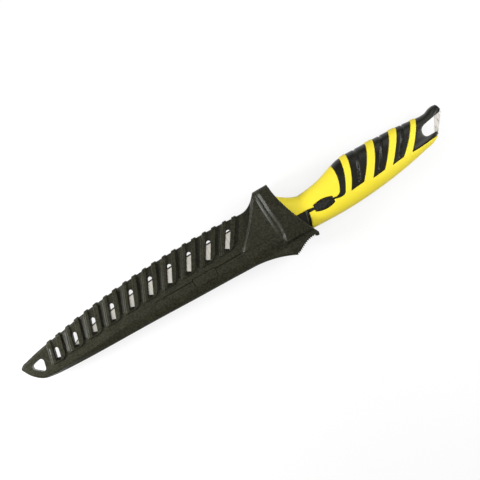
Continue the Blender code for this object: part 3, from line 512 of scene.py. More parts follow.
vents = {
    "count": 10, "width": 3.0, "start": -161.7, "span": 128.7, "foot": 0.35, "footDrop": 6.6, "top": 10.8,
    "topDrop": 10.3, "lean": (0.22, 0.65), "corners": (3.0, 0.8), "below": 2.75, "scoopFade": 4.0,
    "endSlope": 1.4, "ledge": (1.65, 1.75),
    "ribs": {"Half Width": 5.3, "Lit Half": 4.95, "Channel": 2.0, "Lit Flank": 1.4, "Shaded Flank": 0.5,
             "Channel Ease": 0.6, "Foot Ease": 0.5, "Rib Height": 0.0012, "Lip Depth": 0.00035,
             "Scoop Depth": 0.00075},
}
screws = {
    "places": [(8.2, -3.0), (8.2, 6.0)], "shank": 1.5, "head": 2.8, "headHeight": 1.2, "bore": 2.2,
    "headForm": [(0.001, 1.15), (2.2, 1.15), (2.62, 1.02), (2.78, 0.75), (2.78, 0.02), (1.5, 0)],
    "drive": (0.75, 3.3), "driveDepth": 0.5,
}
sheathLow, sheathHigh = (np.array(c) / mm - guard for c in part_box("sheath_front_shell"))
collarHalf, earTop, rampLow = sheathHigh[2] - sheath["bead"], sheathHigh[1], sheathLow[1]
caseEdge, caseSpine, bevelLine = (fairLine(sheath["case"][key]) for key in ("edge", "spine", "bevel"))
ridgeAt, mouthAt = (lineOver(bowed(sheath[key])) for key in ("ridge", "mouth"))
secondRiser, rampRise, creaseAt = (fairLine(sheath[key]) for key in ("secondRiser", "ramp", "crease"))
pitch = vents["span"] / (vents["count"] - 1)


def sheathTop(x):
    flare = np.clip((x - sheath["flareEnd"] + sheath["flareLength"]) / sheath["flareLength"], 0, 1) ** 2
    return caseEdge(x) * (1 - flare) + earTop * flare


def sheathBottom(x):
    start = sheath["ramp"][0][0]
    drop = np.clip((x - start + sheath["dropLength"]) / sheath["dropLength"], 0, 1) ** 2.2
    return np.where(x < start, caseSpine(x) * (1 - drop) + rampLow * drop, rampLow + rampRise(x))


def slotAxis(k):  # the middle of a vent's foot and top, and its lean
    share = k / (vents["count"] - 1)
    footX = vents["start"] + vents["span"] * share
    footY = vents["foot"] - vents["footDrop"] * (1 - share) ** 2
    topY = vents["top"] - vents["topDrop"] * (1 - 1.2 * share) ** 2
    lean = vents["lean"][0] + (vents["lean"][1] - vents["lean"][0]) * share
    return footX, footY, topY, lean


def slotLine(k):
    footX, footY, topY, lean = slotAxis(k)
    return lambda y: footX + lean * (y - footY)


def slotEnds(k):  # the centres of a vent's round ends
    footX, footY, topY, lean = slotAxis(k)
    radius, ahead = vents["width"] / 2, np.array([lean, 1]) / math.hypot(lean, 1)
    foot = np.array([footX - lean * radius, footY - radius]) + ahead * radius
    return foot, np.array([footX + lean * (topY - footY), topY]) - ahead * radius, lean


def slotShape(k):
    foot, top, lean = slotEnds(k)
    angle, out = math.atan2(1, lean), []
    for centre, first in ((top, angle - math.pi / 2), (foot, angle + math.pi / 2)):
        for turn in np.linspace(first, first + math.pi, 9):
            out.append(centre + vents["width"] / 2 * np.array([math.cos(turn), math.sin(turn)]))
    return np.array(out)


def sheathHeight(x, y):  # the front's height over the parting plane, before the vents' ribs
    crease, ridge, half = creaseAt(y), ridgeAt(y), sheath["caseHalf"]
    lowY, lowX = sheath["crease"][0]
    share = np.clip((y - lowY) / (earTop - lowY), 0, 1)
    collar = collarHalf - sum(sheath["risers"])
    slope = (collar - half - sheath["firstStep"]) / (sheath["ridge"][2][0] - lowX)
    cheek = collar - slope * np.maximum(ridge - x, 0)
    climb = np.clip((ridge - x) / (ridge - crease), 0, 1)
    cheek = cheek - sheath["firstStep"] * (1 - smooth(y, lowY - 2, lowY)) * climb
    wall = sheath["wall"][0] + (sheath["wall"][1] - sheath["wall"][0]) * share
    wall = np.minimum(wall, 0.9 * (ridge - crease))
    chamfer = np.maximum(cheek + sheath["steep"] * np.minimum(0, x - crease - wall), half)
    main = half + (chamfer - half) * np.clip((x - crease) / 0.3, 0, 1)
    beyond = x - ridge
    middles = (sheath["firstRiser"], secondRiser(y))
    for middle, width, height in zip(middles, sheath["riserWidths"], sheath["risers"]):
        main = main + height * np.clip((beyond - middle) / width + 0.5, 0, 1)
    climb = np.clip((x - crease) / (ridge - crease), 0, 1)
    fall, middle, reach = sheath["crown"]
    main = main - fall * climb**2 * ((y - middle) / reach) ** 2
    wide, steep = sheath["earFacet"]
    main = main - steep * np.maximum(0, y - earTop + wide)
    # below the step line the collar is only a flange, with a soft step on the cheek's side
    under = half + (sheath["flangeHalf"] - half) * climb
    wide, narrow = sheath["stepSoft"]
    soft = wide + (narrow - wide) * smooth(beyond, *sheath["stepEnds"])
    step = smooth(y, sheath["stepLine"] - 0.45 * soft, sheath["stepLine"] + 0.55 * soft)
    height = under + (main - under) * step
    low, bevel = sheathBottom(x), bevelLine(x)
    fade = smooth(x, *sheath["bevelStart"]) * (1 - smooth(x, *sheath["bevelFade"]))
    share = np.clip((bevel - y) / np.maximum(bevel - low, 0.5), 0, 1)
    rest = smooth(x, *sheath["bevelFade"]) * (1 - smooth(x, *sheath["lowFade"]))
    height = height - sheath["bevelDepth"] * fade * share - sheath["lowDrop"] * rest * share**1.7
    return height - rolled(mouthAt(y) - x, sheath["mouthRounding"])


def sheathColumns():  # guide lines and the shares between each two, close together at the ribs' flanks
    guides = [lambda y, x=x: np.full_like(y, x) for x in (sheathLow[0], sheath["tipEnd"])]
    guides += [slotLine(k) for k in range(vents["count"])] + [creaseAt, ridgeAt, mouthAt]
    near = [0, 0.6, 1.1, 1.5, 1.68, 1.85, 2.0, 2.15, 2.32, 2.45, 3.2, 4.0, 4.25, 4.5, 4.75, 5.0, 5.25, 5.5,
            5.75, 6.0, 6.4, pitch / 2]
    tip = np.array([0, 0.05, 0.2, 0.5, 1, 1.6, 2.3, 3] + list(np.linspace(3.5, 18.3, 36)))
    before = vents["start"] - sheath["tipEnd"]
    rows = [tip / tip[-1], np.array([0] + [1 - n / before for n in near[::-1] if n < before - 0.2])]
    rows += [np.array(near + [pitch - n for n in near[-2::-1]]) / pitch] * (vents["count"] - 1)
    rows += [np.concatenate([np.array(near[:-1]) / pitch, np.linspace(0.48, 0.94, 14), [0.97, 1]])]
    rows += [np.array([0, 0.02, 0.04, 0.07, *np.linspace(0.1, 0.9, 26), 0.93, 0.95, 0.965, 0.98, 1])]
    rows += [np.array([*np.linspace(0, 0.42, 22), *np.linspace(0.46, 0.9, 10),
                       0.925, 0.94, 0.955, 0.97, 0.98, 0.99, 1])]
    return guides, rows


def sheathGrid():  # points of the front's surface, one column after another
    guides, rows = sheathColumns()
    arc = 1 - np.cos(np.linspace(0, math.pi / 2, 7)[:-1])
    even, wall = np.linspace(0, 1, 72)[1:], np.array([0.0, 0.5, 0.85])
    parting, columns = sheath["parting"], []
    for k, shares in enumerate(rows):
        for share in shares[:-1] if k < len(rows) - 1 else shares:
            at = lambda y, a=guides[k], b=guides[k + 1], s=share: (1 - s) * a(y) + s * b(y)
            low, high = np.array([-10.0]), np.array([5.0])
            for _ in range(30):  # until the column's ends lie on the outline
                low = 0.5 * low + 0.5 * sheathBottom(at(low))
                high = 0.5 * high + 0.5 * np.minimum(sheathTop(at(high)), earTop)
            low, high = float(low[0]), max(float(high[0]), float(low[0]) + 0.3)
            radius = min(sheath["rounding"], 0.45 * (high - low))
            footX = at(np.array([low]))[0]
            anchor = np.clip(sheath["stepLine"] if footX > -30 else bevelLine(footX),
                             low + 0.25 * (high - low), high - radius)
            anchor = float(np.clip(anchor, low + radius + 0.1, high - radius - 0.1))
            if high - low <= 4 * radius:
                anchor = (low + high) / 2
            below = anchor - (anchor - low - radius) * np.linspace(1, 0, 20) ** 1.7
            above = anchor + (high - radius - anchor) * (0.6 * even + 0.4 * even**2)
            edge = radius * arc
            ys = np.concatenate([[low] * 3, low + edge, below, above, high - edge[::-1], [high] * 3])
            xs = at(ys)
            tops = sheathHeight(xs, ys) - rolled(np.minimum(ys - low, high - ys), radius)
            tops = np.maximum(tops, parting + 0.3)
            tops[:3] = parting + wall * (tops[3] - parting)
            tops[-3:] = parting + wall[::-1] * (tops[-4] - parting)
            columns.append(np.stack([xs, ys, tops], axis=1))
    return np.stack(columns)


def ribReadings(x, y):  # what the ribs' tree reads at each point of the surface
    half, lit = vents["ribs"]["Half Width"], vents["ribs"]["Lit Half"]
    offset, rise, reach, gap = (np.full(x.shape, 99.0) for _ in range(4))
    for k in range(vents["count"]):
        footY = slotAxis(k)[1]
        off = x - slotLine(k)(y)
        near = np.abs(off) < np.abs(offset)
        offset = np.where(near, off, offset)
        lift = y - footY + vents["below"]
        for aside, radius in zip((off - half, -off - lit), vents["corners"]):
            corner = (aside + radius > 0) & (lift < radius)
            lift = np.where(corner, radius - np.hypot(aside + radius, radius - lift), lift)
        rise = np.where(near, lift, rise)
        reach = np.where(near, y - footY + vents["width"] / 2, reach)
        gap = np.minimum(gap, gapTo(slotShape(k), x, y))
    rise = np.where(x > creaseAt(y) - 2, 0, rise)
    past = offset - half
    valley = np.clip(1 - np.where(offset > 0, past, past + pitch) / (pitch - 2 * half), 0, 1)
    lastLine, firstLine = slotLine(vents["count"] - 1)(y), slotLine(0)(y)
    valley = np.where(x > lastLine, np.clip(1 - past / vents["scoopFade"], 0, 1), valley)
    valley = np.where((np.abs(offset) < half - 0.2) | (x < firstLine), 0, valley)
    return {"slotOffset": offset, "ribRise": rise, "slotReach": reach, "slotGap": gap, "valley": valley}


def shellMesh(name, side, grid):  # the closed half, with its readings
    columns, rows = grid.shape[:2]
    outward = np.cross(np.gradient(grid, axis=0), np.gradient(grid, axis=1))
    outward[:, [0, -1], 2] = 0
    outward /= np.maximum(np.linalg.norm(outward, axis=2), 1e-9)[:, :, None]
    ends = grid[[0, -1]]
    ends[:, :, 2] = sheath["parting"]
    points = np.concatenate([grid.reshape(-1, 3), ends.reshape(-1, 3)]) * (1, 1, side)
    faces = []
    for k in range(columns - 1):
        a, b = k * rows, (k + 1) * rows
        faces += [(a + i, b + i, b + i + 1, a + i + 1) for i in range(rows - 1)]
        if 0 < k < columns - 2:
            faces.append((a, a + rows - 1, b + rows - 1, b))
    for k, column, inner in ((0, 0, 1), (1, columns - 1, columns - 2)):
        base, a = columns * rows + k * rows, column * rows
        faces += [(a + i, a + i + 1, base + i + 1, base + i) for i in range(rows - 1)]
        faces.append(tuple([inner * rows] + [base + i for i in range(rows)] + [inner * rows + rows - 1]))
    obj = meshOf(name, points, faces)
    for label, values in ribReadings(grid[:, :, 0], grid[:, :, 1]).items():
        missing = 0.0 if label == "valley" else 99.0
        pointAttribute(obj, label, np.concatenate([values.ravel(), np.full(2 * rows, missing)]))
    way = np.concatenate([outward.reshape(-1, 3), np.zeros((2 * rows, 3))]) * (1, 1, side)
    pointAttribute(obj, "outward", way)
    return closed(obj)


def ribTree():  # U-shaped ribs round the vents, raised out of the case along its outward direction
    kit = shapeGroup("ventRibs", vents["ribs"])
    given = kit.given
    labels = ("slotOffset", "ribRise", "slotReach", "slotGap", "valley")
    offset, rise, reach, gap, valley = map(kit.attribute, labels)

    def flank(value, width, low=-0.5, high=0.5):
        return kit.step(kit.math("DIVIDE", value, given[width]), low, high)

    left = flank(kit.math("ADD", offset, given["Lit Half"]), "Lit Flank")
    right = flank(kit.math("SUBTRACT", given["Half Width"], offset), "Shaded Flank")
    foot = flank(rise, "Foot Ease", 0.0, 1.0)
    walls = flank(kit.math("SUBTRACT", kit.math("ABSOLUTE", offset), given["Channel"]), "Channel Ease")
    around = kit.math("MAXIMUM", walls, kit.step(reach, -0.3, 0.3, 1.0, 0.0))
    raised = kit.math("MULTIPLY", kit.math("MULTIPLY", left, right), kit.math("MULTIPLY", foot, around))
    outward = kit.attribute("outward", "FLOAT_VECTOR")
    facing = kit.math("ABSOLUTE", kit.add("ShaderNodeSeparateXYZ", Vector=outward)["Z"])
    raised = kit.math("MULTIPLY", raised, kit.math("MULTIPLY_ADD", facing, 0.3, 0.7))
    scoop = kit.math("MULTIPLY", kit.math("MULTIPLY", valley, kit.step(rise, 0.0, 2.5)), facing)
    height = kit.math("MULTIPLY", raised, given["Rib Height"])
    height = kit.math("SUBTRACT", height, kit.math("MULTIPLY", scoop, given["Scoop Depth"]))
    lip = kit.math("MULTIPLY", kit.step(gap, 0.0, 0.55, 1.0, 0.0), given["Lip Depth"])
    way = kit.scaled(outward, kit.math("SUBTRACT", height, lip))
    return kit.close(kit.add("GeometryNodeSetPosition", Geometry=given["Geometry"], Offset=way)[0])


def formTree():  # a form at every point, turned, with its upper half moved along where it is stretched
    kit = shapeGroup("placedForms", {"Form": ("Object", None)})
    form = kit.add("GeometryNodeObjectInfo", Object=kit.given["Form"])["Geometry"]
    position = kit.add("GeometryNodeInputPosition")[0]
    height = kit.add("ShaderNodeSeparateXYZ", Vector=position)["Y"]
    isTop = kit.add("FunctionNodeCompare", {"operation": "GREATER_THAN"}, n0=height, n1=0.0)[0]
    marked = kit.add("GeometryNodeStoreNamedAttribute", Geometry=form, Name="top", Value=isTop)[0]
    placed = kit.add("GeometryNodeInstanceOnPoints", Points=kit.given["Geometry"], Instance=marked,
                     Rotation=kit.attribute("turn", "FLOAT_VECTOR"))[0]
    real = kit.add("GeometryNodeRealizeInstances", Geometry=placed)[0]
    shift = kit.scaled(kit.attribute("along", "FLOAT_VECTOR"), kit.attribute("top"))
    return kit.close(kit.add("GeometryNodeSetPosition", Geometry=real, Offset=shift)[0])


def notchTree():  # notches at even steps along a path, each square to it
    sizes = {"Count": ("Int", 12), "Radius": 0.0005, "Depth": 0.03, "Sides": ("Int", 10)}
    kit = shapeGroup("rampNotches", {**sizes, "Stretch": ("Vector", (1.0, 1.0, 1.0))})
    given = kit.given
    path = kit.add("GeometryNodeMeshToCurve", Mesh=given["Geometry"])[0]
    spots = kit.add("GeometryNodeResampleCurve", Curve=path, Count=given["Count"])[0]
    ahead = kit.add("GeometryNodeInputTangent")[0]
    turn = kit.add("FunctionNodeAlignRotationToVector", {"axis": "X"}, Vector=ahead)[0]
    cutter = kit.add("GeometryNodeMeshCylinder", Vertices=given["Sides"], Radius=given["Radius"],
                     Depth=given["Depth"])[0]
    return kit.close(kit.add("GeometryNodeInstanceOnPoints", Points=spots, Instance=cutter, Rotation=turn,
                             Scale=given["Stretch"])[0])


trees = {"ribs": ribTree(), "forms": formTree(), "notches": notchTree()}


def ventCutter():  # slots with a round top, and a ledge below their foot
    radius, turn, rings = vents["width"] / 2, np.linspace(0, math.pi, 13), []
    inner, outer = vents["ledge"]
    for z, drop in ((-15, 1), (-outer, 1), (-inner, 0), (inner, 0), (outer, 1), (15, 1)):
        top = [(radius * math.cos(a), radius * math.sin(a) + 0.01, z) for a in turn]
        fall = drop * vents["endSlope"]
        rings.append(top + [(-radius * math.cos(a), -fall * math.sin(a), z) for a in turn])
    form = centred(lofted("ventForm", rings))
    ends = [slotEnds(k) for k in range(vents["count"])]
    cutter = meshOf("ventCutter", [(*foot, 0) for foot, top, lean in ends])
    pointAttribute(cutter, "turn", [(0, 0, -math.atan(lean)) for foot, top, lean in ends])
    pointAttribute(cutter, "along", [(*(top - foot) * mm, 0) for foot, top, lean in ends])
    applyTree(cutter, trees["forms"], "sheathPlastic", {"Form": form})
    bpy.data.objects.remove(form)
    return closed(cutter)


def sheathCavity():  # the blade's room and the throat that holds the guard
    given = sheath["cavity"]
    xs = np.linspace(sheathLow[0] + given["start"], -2, 40)
    outline = [(x, caseEdge(x) - given["rim"]) for x in xs] + [(0, 14), (0, -11)]
    outline += [(x, caseSpine(x) + given["rim"]) for x in xs[::-1]]
    low, high, depth = given["throat"]
    throat = [section(x, rampLow + low, earTop - high, collarHalf - depth) for x in given["throatEnds"]]
    return shape(prism("room", outline, -given["half"], given["half"]), "UNION", lofted("throat", throat))


def engravedLines():  # grooves that narrow to their foot: a line along the case, and a bare plate's outline
    def strip(x0, y0, x1, y1, w0, w1):
        return np.array([(x0, y0 - w0), (x1, y1 - w1), (x1, y1 + w1), (x0, y0 + w0)])

    (left, leftY), (right, rightY) = sheath["line"]
    x0, x1, y0, y1 = sheath["plate"]
    at = lambda x: leftY + (rightY - leftY) * (x - left) / (right - left)
    (width, deep), (fine, shallow) = sheath["groove"], sheath["plateGroove"]
    w, f = width / 2, fine / 2
    lines = [(strip(left, leftY, x0, at(x0), 0.5 * w, w), deep)]
    lines += [(strip(x1, at(x1), right, rightY, w, w), deep)]
    lines += [(strip(x0 - f, y, x1 + f, y, f, f), shallow) for y in (y0, y1)]
    lines += [(strip(y1, x, y0, x, f, f)[:, ::-1], shallow) for x in (x0, x1)]
    tools = []
    for outline, depth in lines:
        middle = 0.5 * (outline + outline[::-1])
        foot = middle + 0.08 * (outline - middle)
        levels = ((foot, sheath["caseHalf"] - depth), (outline, sheath["caseHalf"] + 0.02), (outline, 9))
        tools.append(lofted("engraving", [[(x, y, z) for x, y in ring] for ring, z in levels]))
    return tools


def makeSheath():
    grid = sheathGrid()
    notchPath = [(x, float(sheathBottom(x)) - 0.05, 0) for x in np.linspace(*sheath["toothed"], 40)]
    hole = roundedCorners(sheath["tipHole"], sheath["tipHoleRounding"], 8)
    shells = {"sheathFrontShell": (1, "sheath_front_shell"), "sheathBackShell": (-1, "sheath_back_shell")}
    for name, (side, node) in shells.items():
        shell = shellMesh(name, side, grid)
        applyTree(shell, trees["ribs"], "sheathPlastic", vents["ribs"])
        cut(shell, ventCutter(), prism("tipHole", hole), sheathCavity())
        if side > 0:
            cut(shell, *engravedLines())
        notches = pathOf("notches", notchPath)
        cut(shell, applyTree(notches, trees["notches"], "sheathPlastic", sheath["teeth"]))
        if side < 0:
            for spot in screws["places"]:
                bore = ringAt(*spot, screws["shank"] + 0.1)
                cut(shell, prism("bore", bore, -collarHalf - 1, screws["bore"] - collarHalf))
        finished(shell, "sheathPlastic", "sheath", [node], 38)
    print("sheath made")


makeSheath()


handle = {
    "length": 130.3, "creaseAt": 22.5, "frontRounding": 1.2, "endRounding": 0.9, "sides": 208,
    "belly": [(0, 18.5), (3, 19.8), (6, 19), (9, 16.3), (11, 13.7), (14, 11.3), (19, 8.4), (22.5, 7.1),
              (29, 7.6), (39, 9.3), (49, 12.7), (54, 14.6), (60, 15.4), (74, 15.3), (89, 14.9), (104, 13.9),
              (111, 13.1), (117, 12.5), (120, 12.7), (124.3, 14.2), (127.6, 14.4), (129.5, 13.6),
              (130.3, 11.9)],
    "back": [(0, -14), (12, -15.5), (24, -16.2), (39, -16.7), (54, -16.5), (69, -15.4), (84, -13.6),
             (99, -11), (109, -8.8), (118, -6.4), (121, -4.5), (124, -1), (130.3, 8.2)],
    "half": [(0, 8.7), (6, 9.2), (14, 8.9), (22.5, 8.3), (32, 9.1), (45, 10.2), (62, 11), (78, 10.9),
             (95, 10.2), (110, 9.2), (118, 8.1), (125, 6.4), (130.3, 4.2)],
    "broadest": (15.5, 11), "uprights": (0, 1.2, 6, 22.5, 28.1, 41.9), "rearUprights": (118, 124),
    "spacing": (0.45, 0.5), "tongue": (1.6, 108.0),
    "sink": 0.42, "skin": 1.2, "seam": 0.04, "yellowEdge": 0.6, "blackEdge": 0.45, "openingEdge": 1.2,
    "grooveDepth": 0.65, "groove": (0.12, 0.95), "ovalRise": 0.2, "ovalEnds": ((27.8, 28.6), (41.2, 42.2)),
    "ovalTop": -1, "thumbCrease": [(22.3, -4), (21.6, -8), (20.5, -12), (19, -16)], "thumbDrop": 0.85,
    "thumbRoom": (25, -3.9), "slotGap": 0.06,
}
stripes = {  # front edge, rear edge and groove, each as a curve's foot, bow and top
    "gripPadFront": ([(54.2, -7.4), (61.6, 3.8), (62.7, 14.5)], [(64, -6.5), (74, 5), (77, 14.5)],
                     [(62, -4.5), (66.6, 5), (69, 14.5)]),
    "gripPadMiddle": ([(70.3, -7.4), (79.6, 4.6), (82.3, 14)], [(79.3, -6.5), (89.8, 4.9), (93.8, 14)],
                      [(77, -4), (83.8, 4.6), (87.5, 14)]),
    "gripPadRear": ([(85.3, -6.4), (94.6, 4.2), (99, 13)], [(94, -5.5), (103.6, 3), (109.2, 12.4)],
                    [(92, -4), (98.2, 4.3), (103.3, 12.7)]),
}
hook = {  # the stripe's two edges, then the run by the oval to the thumb's piece and back
    "front": [(47.5, -4), (51.8, 3.4), (51, 13.5)], "rear": [(50.5, -6.3), (56.8, 4), (58, 14.5)],
    "foot": [(50.5, -6.3), (49, -7.3), (46, -7.5), (43, -6.8), (41.9, -6.7)],
    "ovalLow": [(41.8, -8.3), (39, -9.1), (35, -9.5), (31, -8.9), (28.1, -7.7)],
    "thumb": [(28, -6.2), (24, -6.1), (23.2, -9.5), (22.3, -12.5), (21, -15.4), (20.4, -20), (3.5, -20),
              (3.5, -5), (5, -3.3), (24, -3.9), (28.1, -4.6)],
    "ovalHigh": [(28.3, -3.2), (31, -2.6), (34.5, -2.3), (38, -2.8), (41.8, -4.1)],
    "bend": [(41.9, -5.4), (44, -5.8), (46, -5.4), (47.5, -4)],
}
cap = {
    "edge": [(100.3, -5.6), (109, 3.9), (113.2, 12.5)],
    "foot": [(107, -5.5), (114, -4.9), (120.8, -4.2), (121.9, -3.9)],
    "beyond": [(121.9, -9), (140, -9), (140, 20), (113.2, 20)],
    "opening": [(136, 9.6), (122, 7.2), (116, 6.05), (114, 5.3), (112.5, 3.9), (111.9, 2), (112.1, 0.2),
                (113, -1.1), (114.6, -1.65), (117, -1.7), (120, -1.6), (121.3, -2), (121.7, -3.4),
                (121.7, -9), (136, -9)],
}
tang = {
    "upper": [(6, 4.5), (22, 2.4), (40, 3), (70, 5.5), (106, 7.6), (114, 8.4), (127.4, 10.5)],
    "lower": [(130.3, 8.4), (122.4, -2.4), (120.8, -4), (106, -4.2), (70, -6.5), (30, -8), (8, -8.6)],
    "window": [(125.9, 8.5), (114.2, 6.8), (110.9, 4.8), (110.9, -0.6), (113.6, -2.6), (119.4, -2.6)],
    "holes": [(34, -2.6), (66, -0.6), (94, 1.0)], "holeRadius": 3.0, "root": (5.6, -10.5),
}
bellyAt, halfAt = (creasedLine(handle[key], handle["creaseAt"]) for key in ("belly", "half"))
backAt = fairLine(handle["back"])


def gripOutlines():  # every black piece's outline, open towards the belly
    overBelly = lambda front, rear: [(end[-1][0], end[-1][1] + 3) for end in (front, rear)]
    front, rear = bowed(hook["front"]), bowed(hook["rear"])
    foot, low, high, bend = (fairRun(hook[key]) for key in ("foot", "ovalLow", "ovalHigh", "bend"))
    lower, upper = [*rear[::-1], *foot[1:], *low, *hook["thumb"]], [*high, *bend[:-1], *front]
    outlines = {"frontGrip": np.array([*lower, *upper, *overBelly(front, rear)])}
    for name, (front, rear, line) in stripes.items():
        front, rear = bowed(front), bowed(rear)
        outlines[name] = np.array([*front, *overBelly(front, rear), *rear[::-1]])
    foot = fairRun([cap["edge"][0], *cap["foot"]])[1:]
    outlines["buttCap"] = np.array([*bowed(cap["edge"])[::-1], *foot, *cap["beyond"]])
    return outlines


def handleGrid():  # x, y and the section's angle at each point, columns following the stripes' edges
    upright = lambda x: lambda y: np.full_like(y, float(x))
    pads = [edge for pad in stripes.values() for edge in pad[:2]]
    edges = [hook["front"], hook["rear"], *pads, cap["edge"]]
    guides = [upright(x) for x in handle["uprights"]] + [lineOver(bowed(c)) for c in edges]
    guides += [upright(x) for x in (*handle["rearUprights"], handle["length"])]
    near = np.array([0, 0.1, 0.22, 0.36, 0.52, 0.72, 1.0])
    ladder, first = [], len(handle["uprights"]) - 1
    plainStep, fineStep = handle["spacing"]
    for k, (a, b) in enumerate(zip(guides, guides[1:])):
        length = float(b(np.array([3.0]))[0] - a(np.array([3.0]))[0])
        if first <= k < first + len(edges):  # columns bunch up at each edge
            middle = np.linspace(near[-1], length - near[-1], max(2, round((length - 2) / fineStep)))
            shares = np.concatenate([near[:-1], middle, length - near[-2::-1]]) / length
        else:
            shares = np.linspace(0, 1, max(6, round(length / plainStep)))
        ladder += [(a, b, s) for s in shares[:-1]]
    ladder.append((guides[-2], guides[-1], 1.0))
    # angles that are even steps along the broadest section
    fine = np.linspace(0, 2 * math.pi, 4001)
    ring = np.stack([squarish(np.cos(fine)), squarish(np.sin(fine))], axis=1) * handle["broadest"]
    walked = np.concatenate([[0], np.cumsum(np.linalg.norm(np.diff(ring, axis=0), axis=1))])
    angles = np.interp(np.linspace(0, walked[-1], handle["sides"], endpoint=False), walked, fine)
    columns = []
    for a, b, share in ladder:
        y = np.zeros(len(angles))
        for _ in range(14):
            x = (1 - share) * a(y) + share * b(y)
            y = across(backAt(x), bellyAt(x), angles)
        columns.append(np.stack([x, y, angles], axis=1))
    return np.stack(columns)


def handlePoints(x, angle, inset):
    inset = inset + rolled(x, handle["frontRounding"]) + rolled(handle["length"] - x, handle["endRounding"])
    low, high, half = backAt(x) + inset, bellyAt(x) - inset, halfAt(x) - inset
    high, half = np.maximum(high, low + 0.05), np.maximum(half, 0.05)
    return np.stack([x, across(low, high, angle), half * squarish(np.sin(angle))], axis=-1)


def tangShape(name, grow, thick):
    high, low = tang["root"]
    upper, lower = (fairRun(tang[key], 3) for key in ("upper", "lower"))
    outline = np.array([(-6, float(bladeSpine(-5))), (-6, high), (0, high), *upper, *lower, (0, low)])
    plate = prism(name, grown(outline, grow), -thick, thick)
    cut(plate, prism("window", grown(roundedCorners(tang["window"], 0.7), -grow)))
    cut(plate, *(prism("hole", ringAt(x, y, tang["holeRadius"] - grow)) for x, y in tang["holes"]))
    return plate


def handleInsets(x, y, openingOutline):  # how far the yellow and the black lie below the handle's surface
    gap = np.min([gapTo(outline, x, y) for outline in outlines.values()], axis=0)
    hole = rolled(gapTo(openingOutline, x, y), handle["openingEdge"])
    edge = handle["yellowEdge"]
    yellow = np.maximum(np.where(gap > 0, rolled(gap, edge), edge), hole)
    edge = handle["blackEdge"]
    black = handle["sink"] + np.where(gap < 0, rolled(-gap, edge), edge)
    for front, rear, line in stripes.values():
        path = [*bowed(line), (line[-1][0] + 0.2, line[-1][1] + 3)]
        black += handle["grooveDepth"] * (1 - smooth(gapToPath(path, x, y), *handle["groove"]))
    crease = lineOver(handle["thumbCrease"])
    thumb = (x < handle["thumbRoom"][0]) & (y < handle["thumbRoom"][1]) & (gap < 0)
    black += handle["thumbDrop"] * smooth(x - crease(y), 0, 1.1) * thumb
    start, end = handle["ovalEnds"]
    oval = smooth(-gap, 0.3, 2.2) * smooth(x, *start) * (1 - smooth(x, *end)) * (y < handle["ovalTop"])
    return yellow, np.maximum(black - handle["ovalRise"] * oval, hole + 0.1)


def makeHandle():
    grid = handleGrid()
    x, y, angle = grid[:, :, 0], grid[:, :, 1], grid[:, :, 2]
    openingOutline = fairRun(cap["opening"], 3)
    yellow, black = handleInsets(x, y, openingOutline)
    core = lofted("handleCore", handlePoints(x, angle, yellow))
    form = lofted("blackForm", handlePoints(x, angle, black))
    deep, inner = handle["sink"] + handle["skin"], []
    for name, inset in (("pocket", deep + handle["seam"]), ("skin", deep)):
        rings = [section(v, backAt(v) + inset, bellyAt(v) - inset, halfAt(v) - inset, 96)
                 for v in np.linspace(*handle["tongue"], 120)]
        inner.append(lofted(name, rings))
    pocket, skin = inner
    openingCut = prism("opening", openingOutline)
    slot = tangShape("slot", handle["slotGap"], blade["half"] + handle["slotGap"])
    pieces = {}
    for name, outline in outlines.items():
        pieces[name] = piece = linked(name, form.data.copy())
        shape(piece, "INTERSECT", prism("outline", outline))
        cut(piece, skin, keep=True)
        room = prism("room", grown(outline, handle["seam"]))
        cut(room, pocket, keep=True)
        cut(core, room)
    for piece in (core, pieces["buttCap"]):
        cut(piece, openingCut, slot, keep=True)
    for tool in (form, openingCut, slot, pocket, skin):
        bpy.data.objects.remove(tool)
    finished(core, "handleYellow", "knife", ["handle_core"], 40)
    nodes = {"frontGrip": "front_grip", "gripPadFront": "grip_pad_front", "gripPadMiddle": "grip_pad_middle",
             "gripPadRear": "grip_pad_rear", "buttCap": "butt_cap"}
    for name, piece in pieces.items():
        finished(piece, "gripRubber", "knife", [nodes[name]], 40)
    print("handle made")


blade = {
    "edge": [(-152.4, -6.5), (-147, -2.8), (-131.5, 1.6), (-116.5, 3.9), (-101, 6), (-86, 7.6), (-71, 8.7),
             (-56, 9.3), (-41, 9.6), (-20, 9.6), (-5, 9.3)],
    "spine": [(-152.4, -6.5), (-130, -9.2), (-100, -11.2), (-60, -12.6), (-20, -13), (0, -13)],
    "length": 152.4, "half": 1.0, "spineChamfer": 0.3, "grindShare": 0.62, "hollow": 0.14,
    "bevel": (0.9, 0.5), "edgeHalf": 0.02, "plunge": (-10.5, -6.2), "heel": -5.6, "tangEdge": 0.5,
}
bladeEdge, bladeSpine = fairLine(blade["edge"]), fairLine(blade["spine"])


def bladeRing(x):
    edge, spine = float(bladeEdge(x)), float(bladeSpine(x))
    height = max(edge - spine, 0.02)
    small, chamfer = min(1.0, height / 6), blade["spineChamfer"]
    taper = 1 - 0.35 * max(0.0, (-x / blade["length"] - 0.35) / 0.65)
    top = blade["half"] * taper * (0.25 + 0.75 * min(1.0, height / 5))
    ground = 1 - float(smooth(x, *blade["plunge"]))
    shoulder, low = edge - height * blade["grindShare"], edge - blade["bevel"][0] * small
    thin = min(blade["bevel"][1], top * 0.8)
    side = [(spine, top - chamfer * small), (spine + chamfer * small, top), (shoulder - 0.25 * small, top)]
    for t in np.linspace(0, 1, 9):
        depth = (top - thin) * t + blade["hollow"] * small * math.sin(math.pi * t)
        side.append((shoulder + (low - shoulder) * t, top - ground * depth))
    side.append((edge, blade["edgeHalf"] + (1 - ground) * (top - 0.3)))
    return [(x, y, z) for y, z in side] + [(x, y, -z) for y, z in side[::-1]]


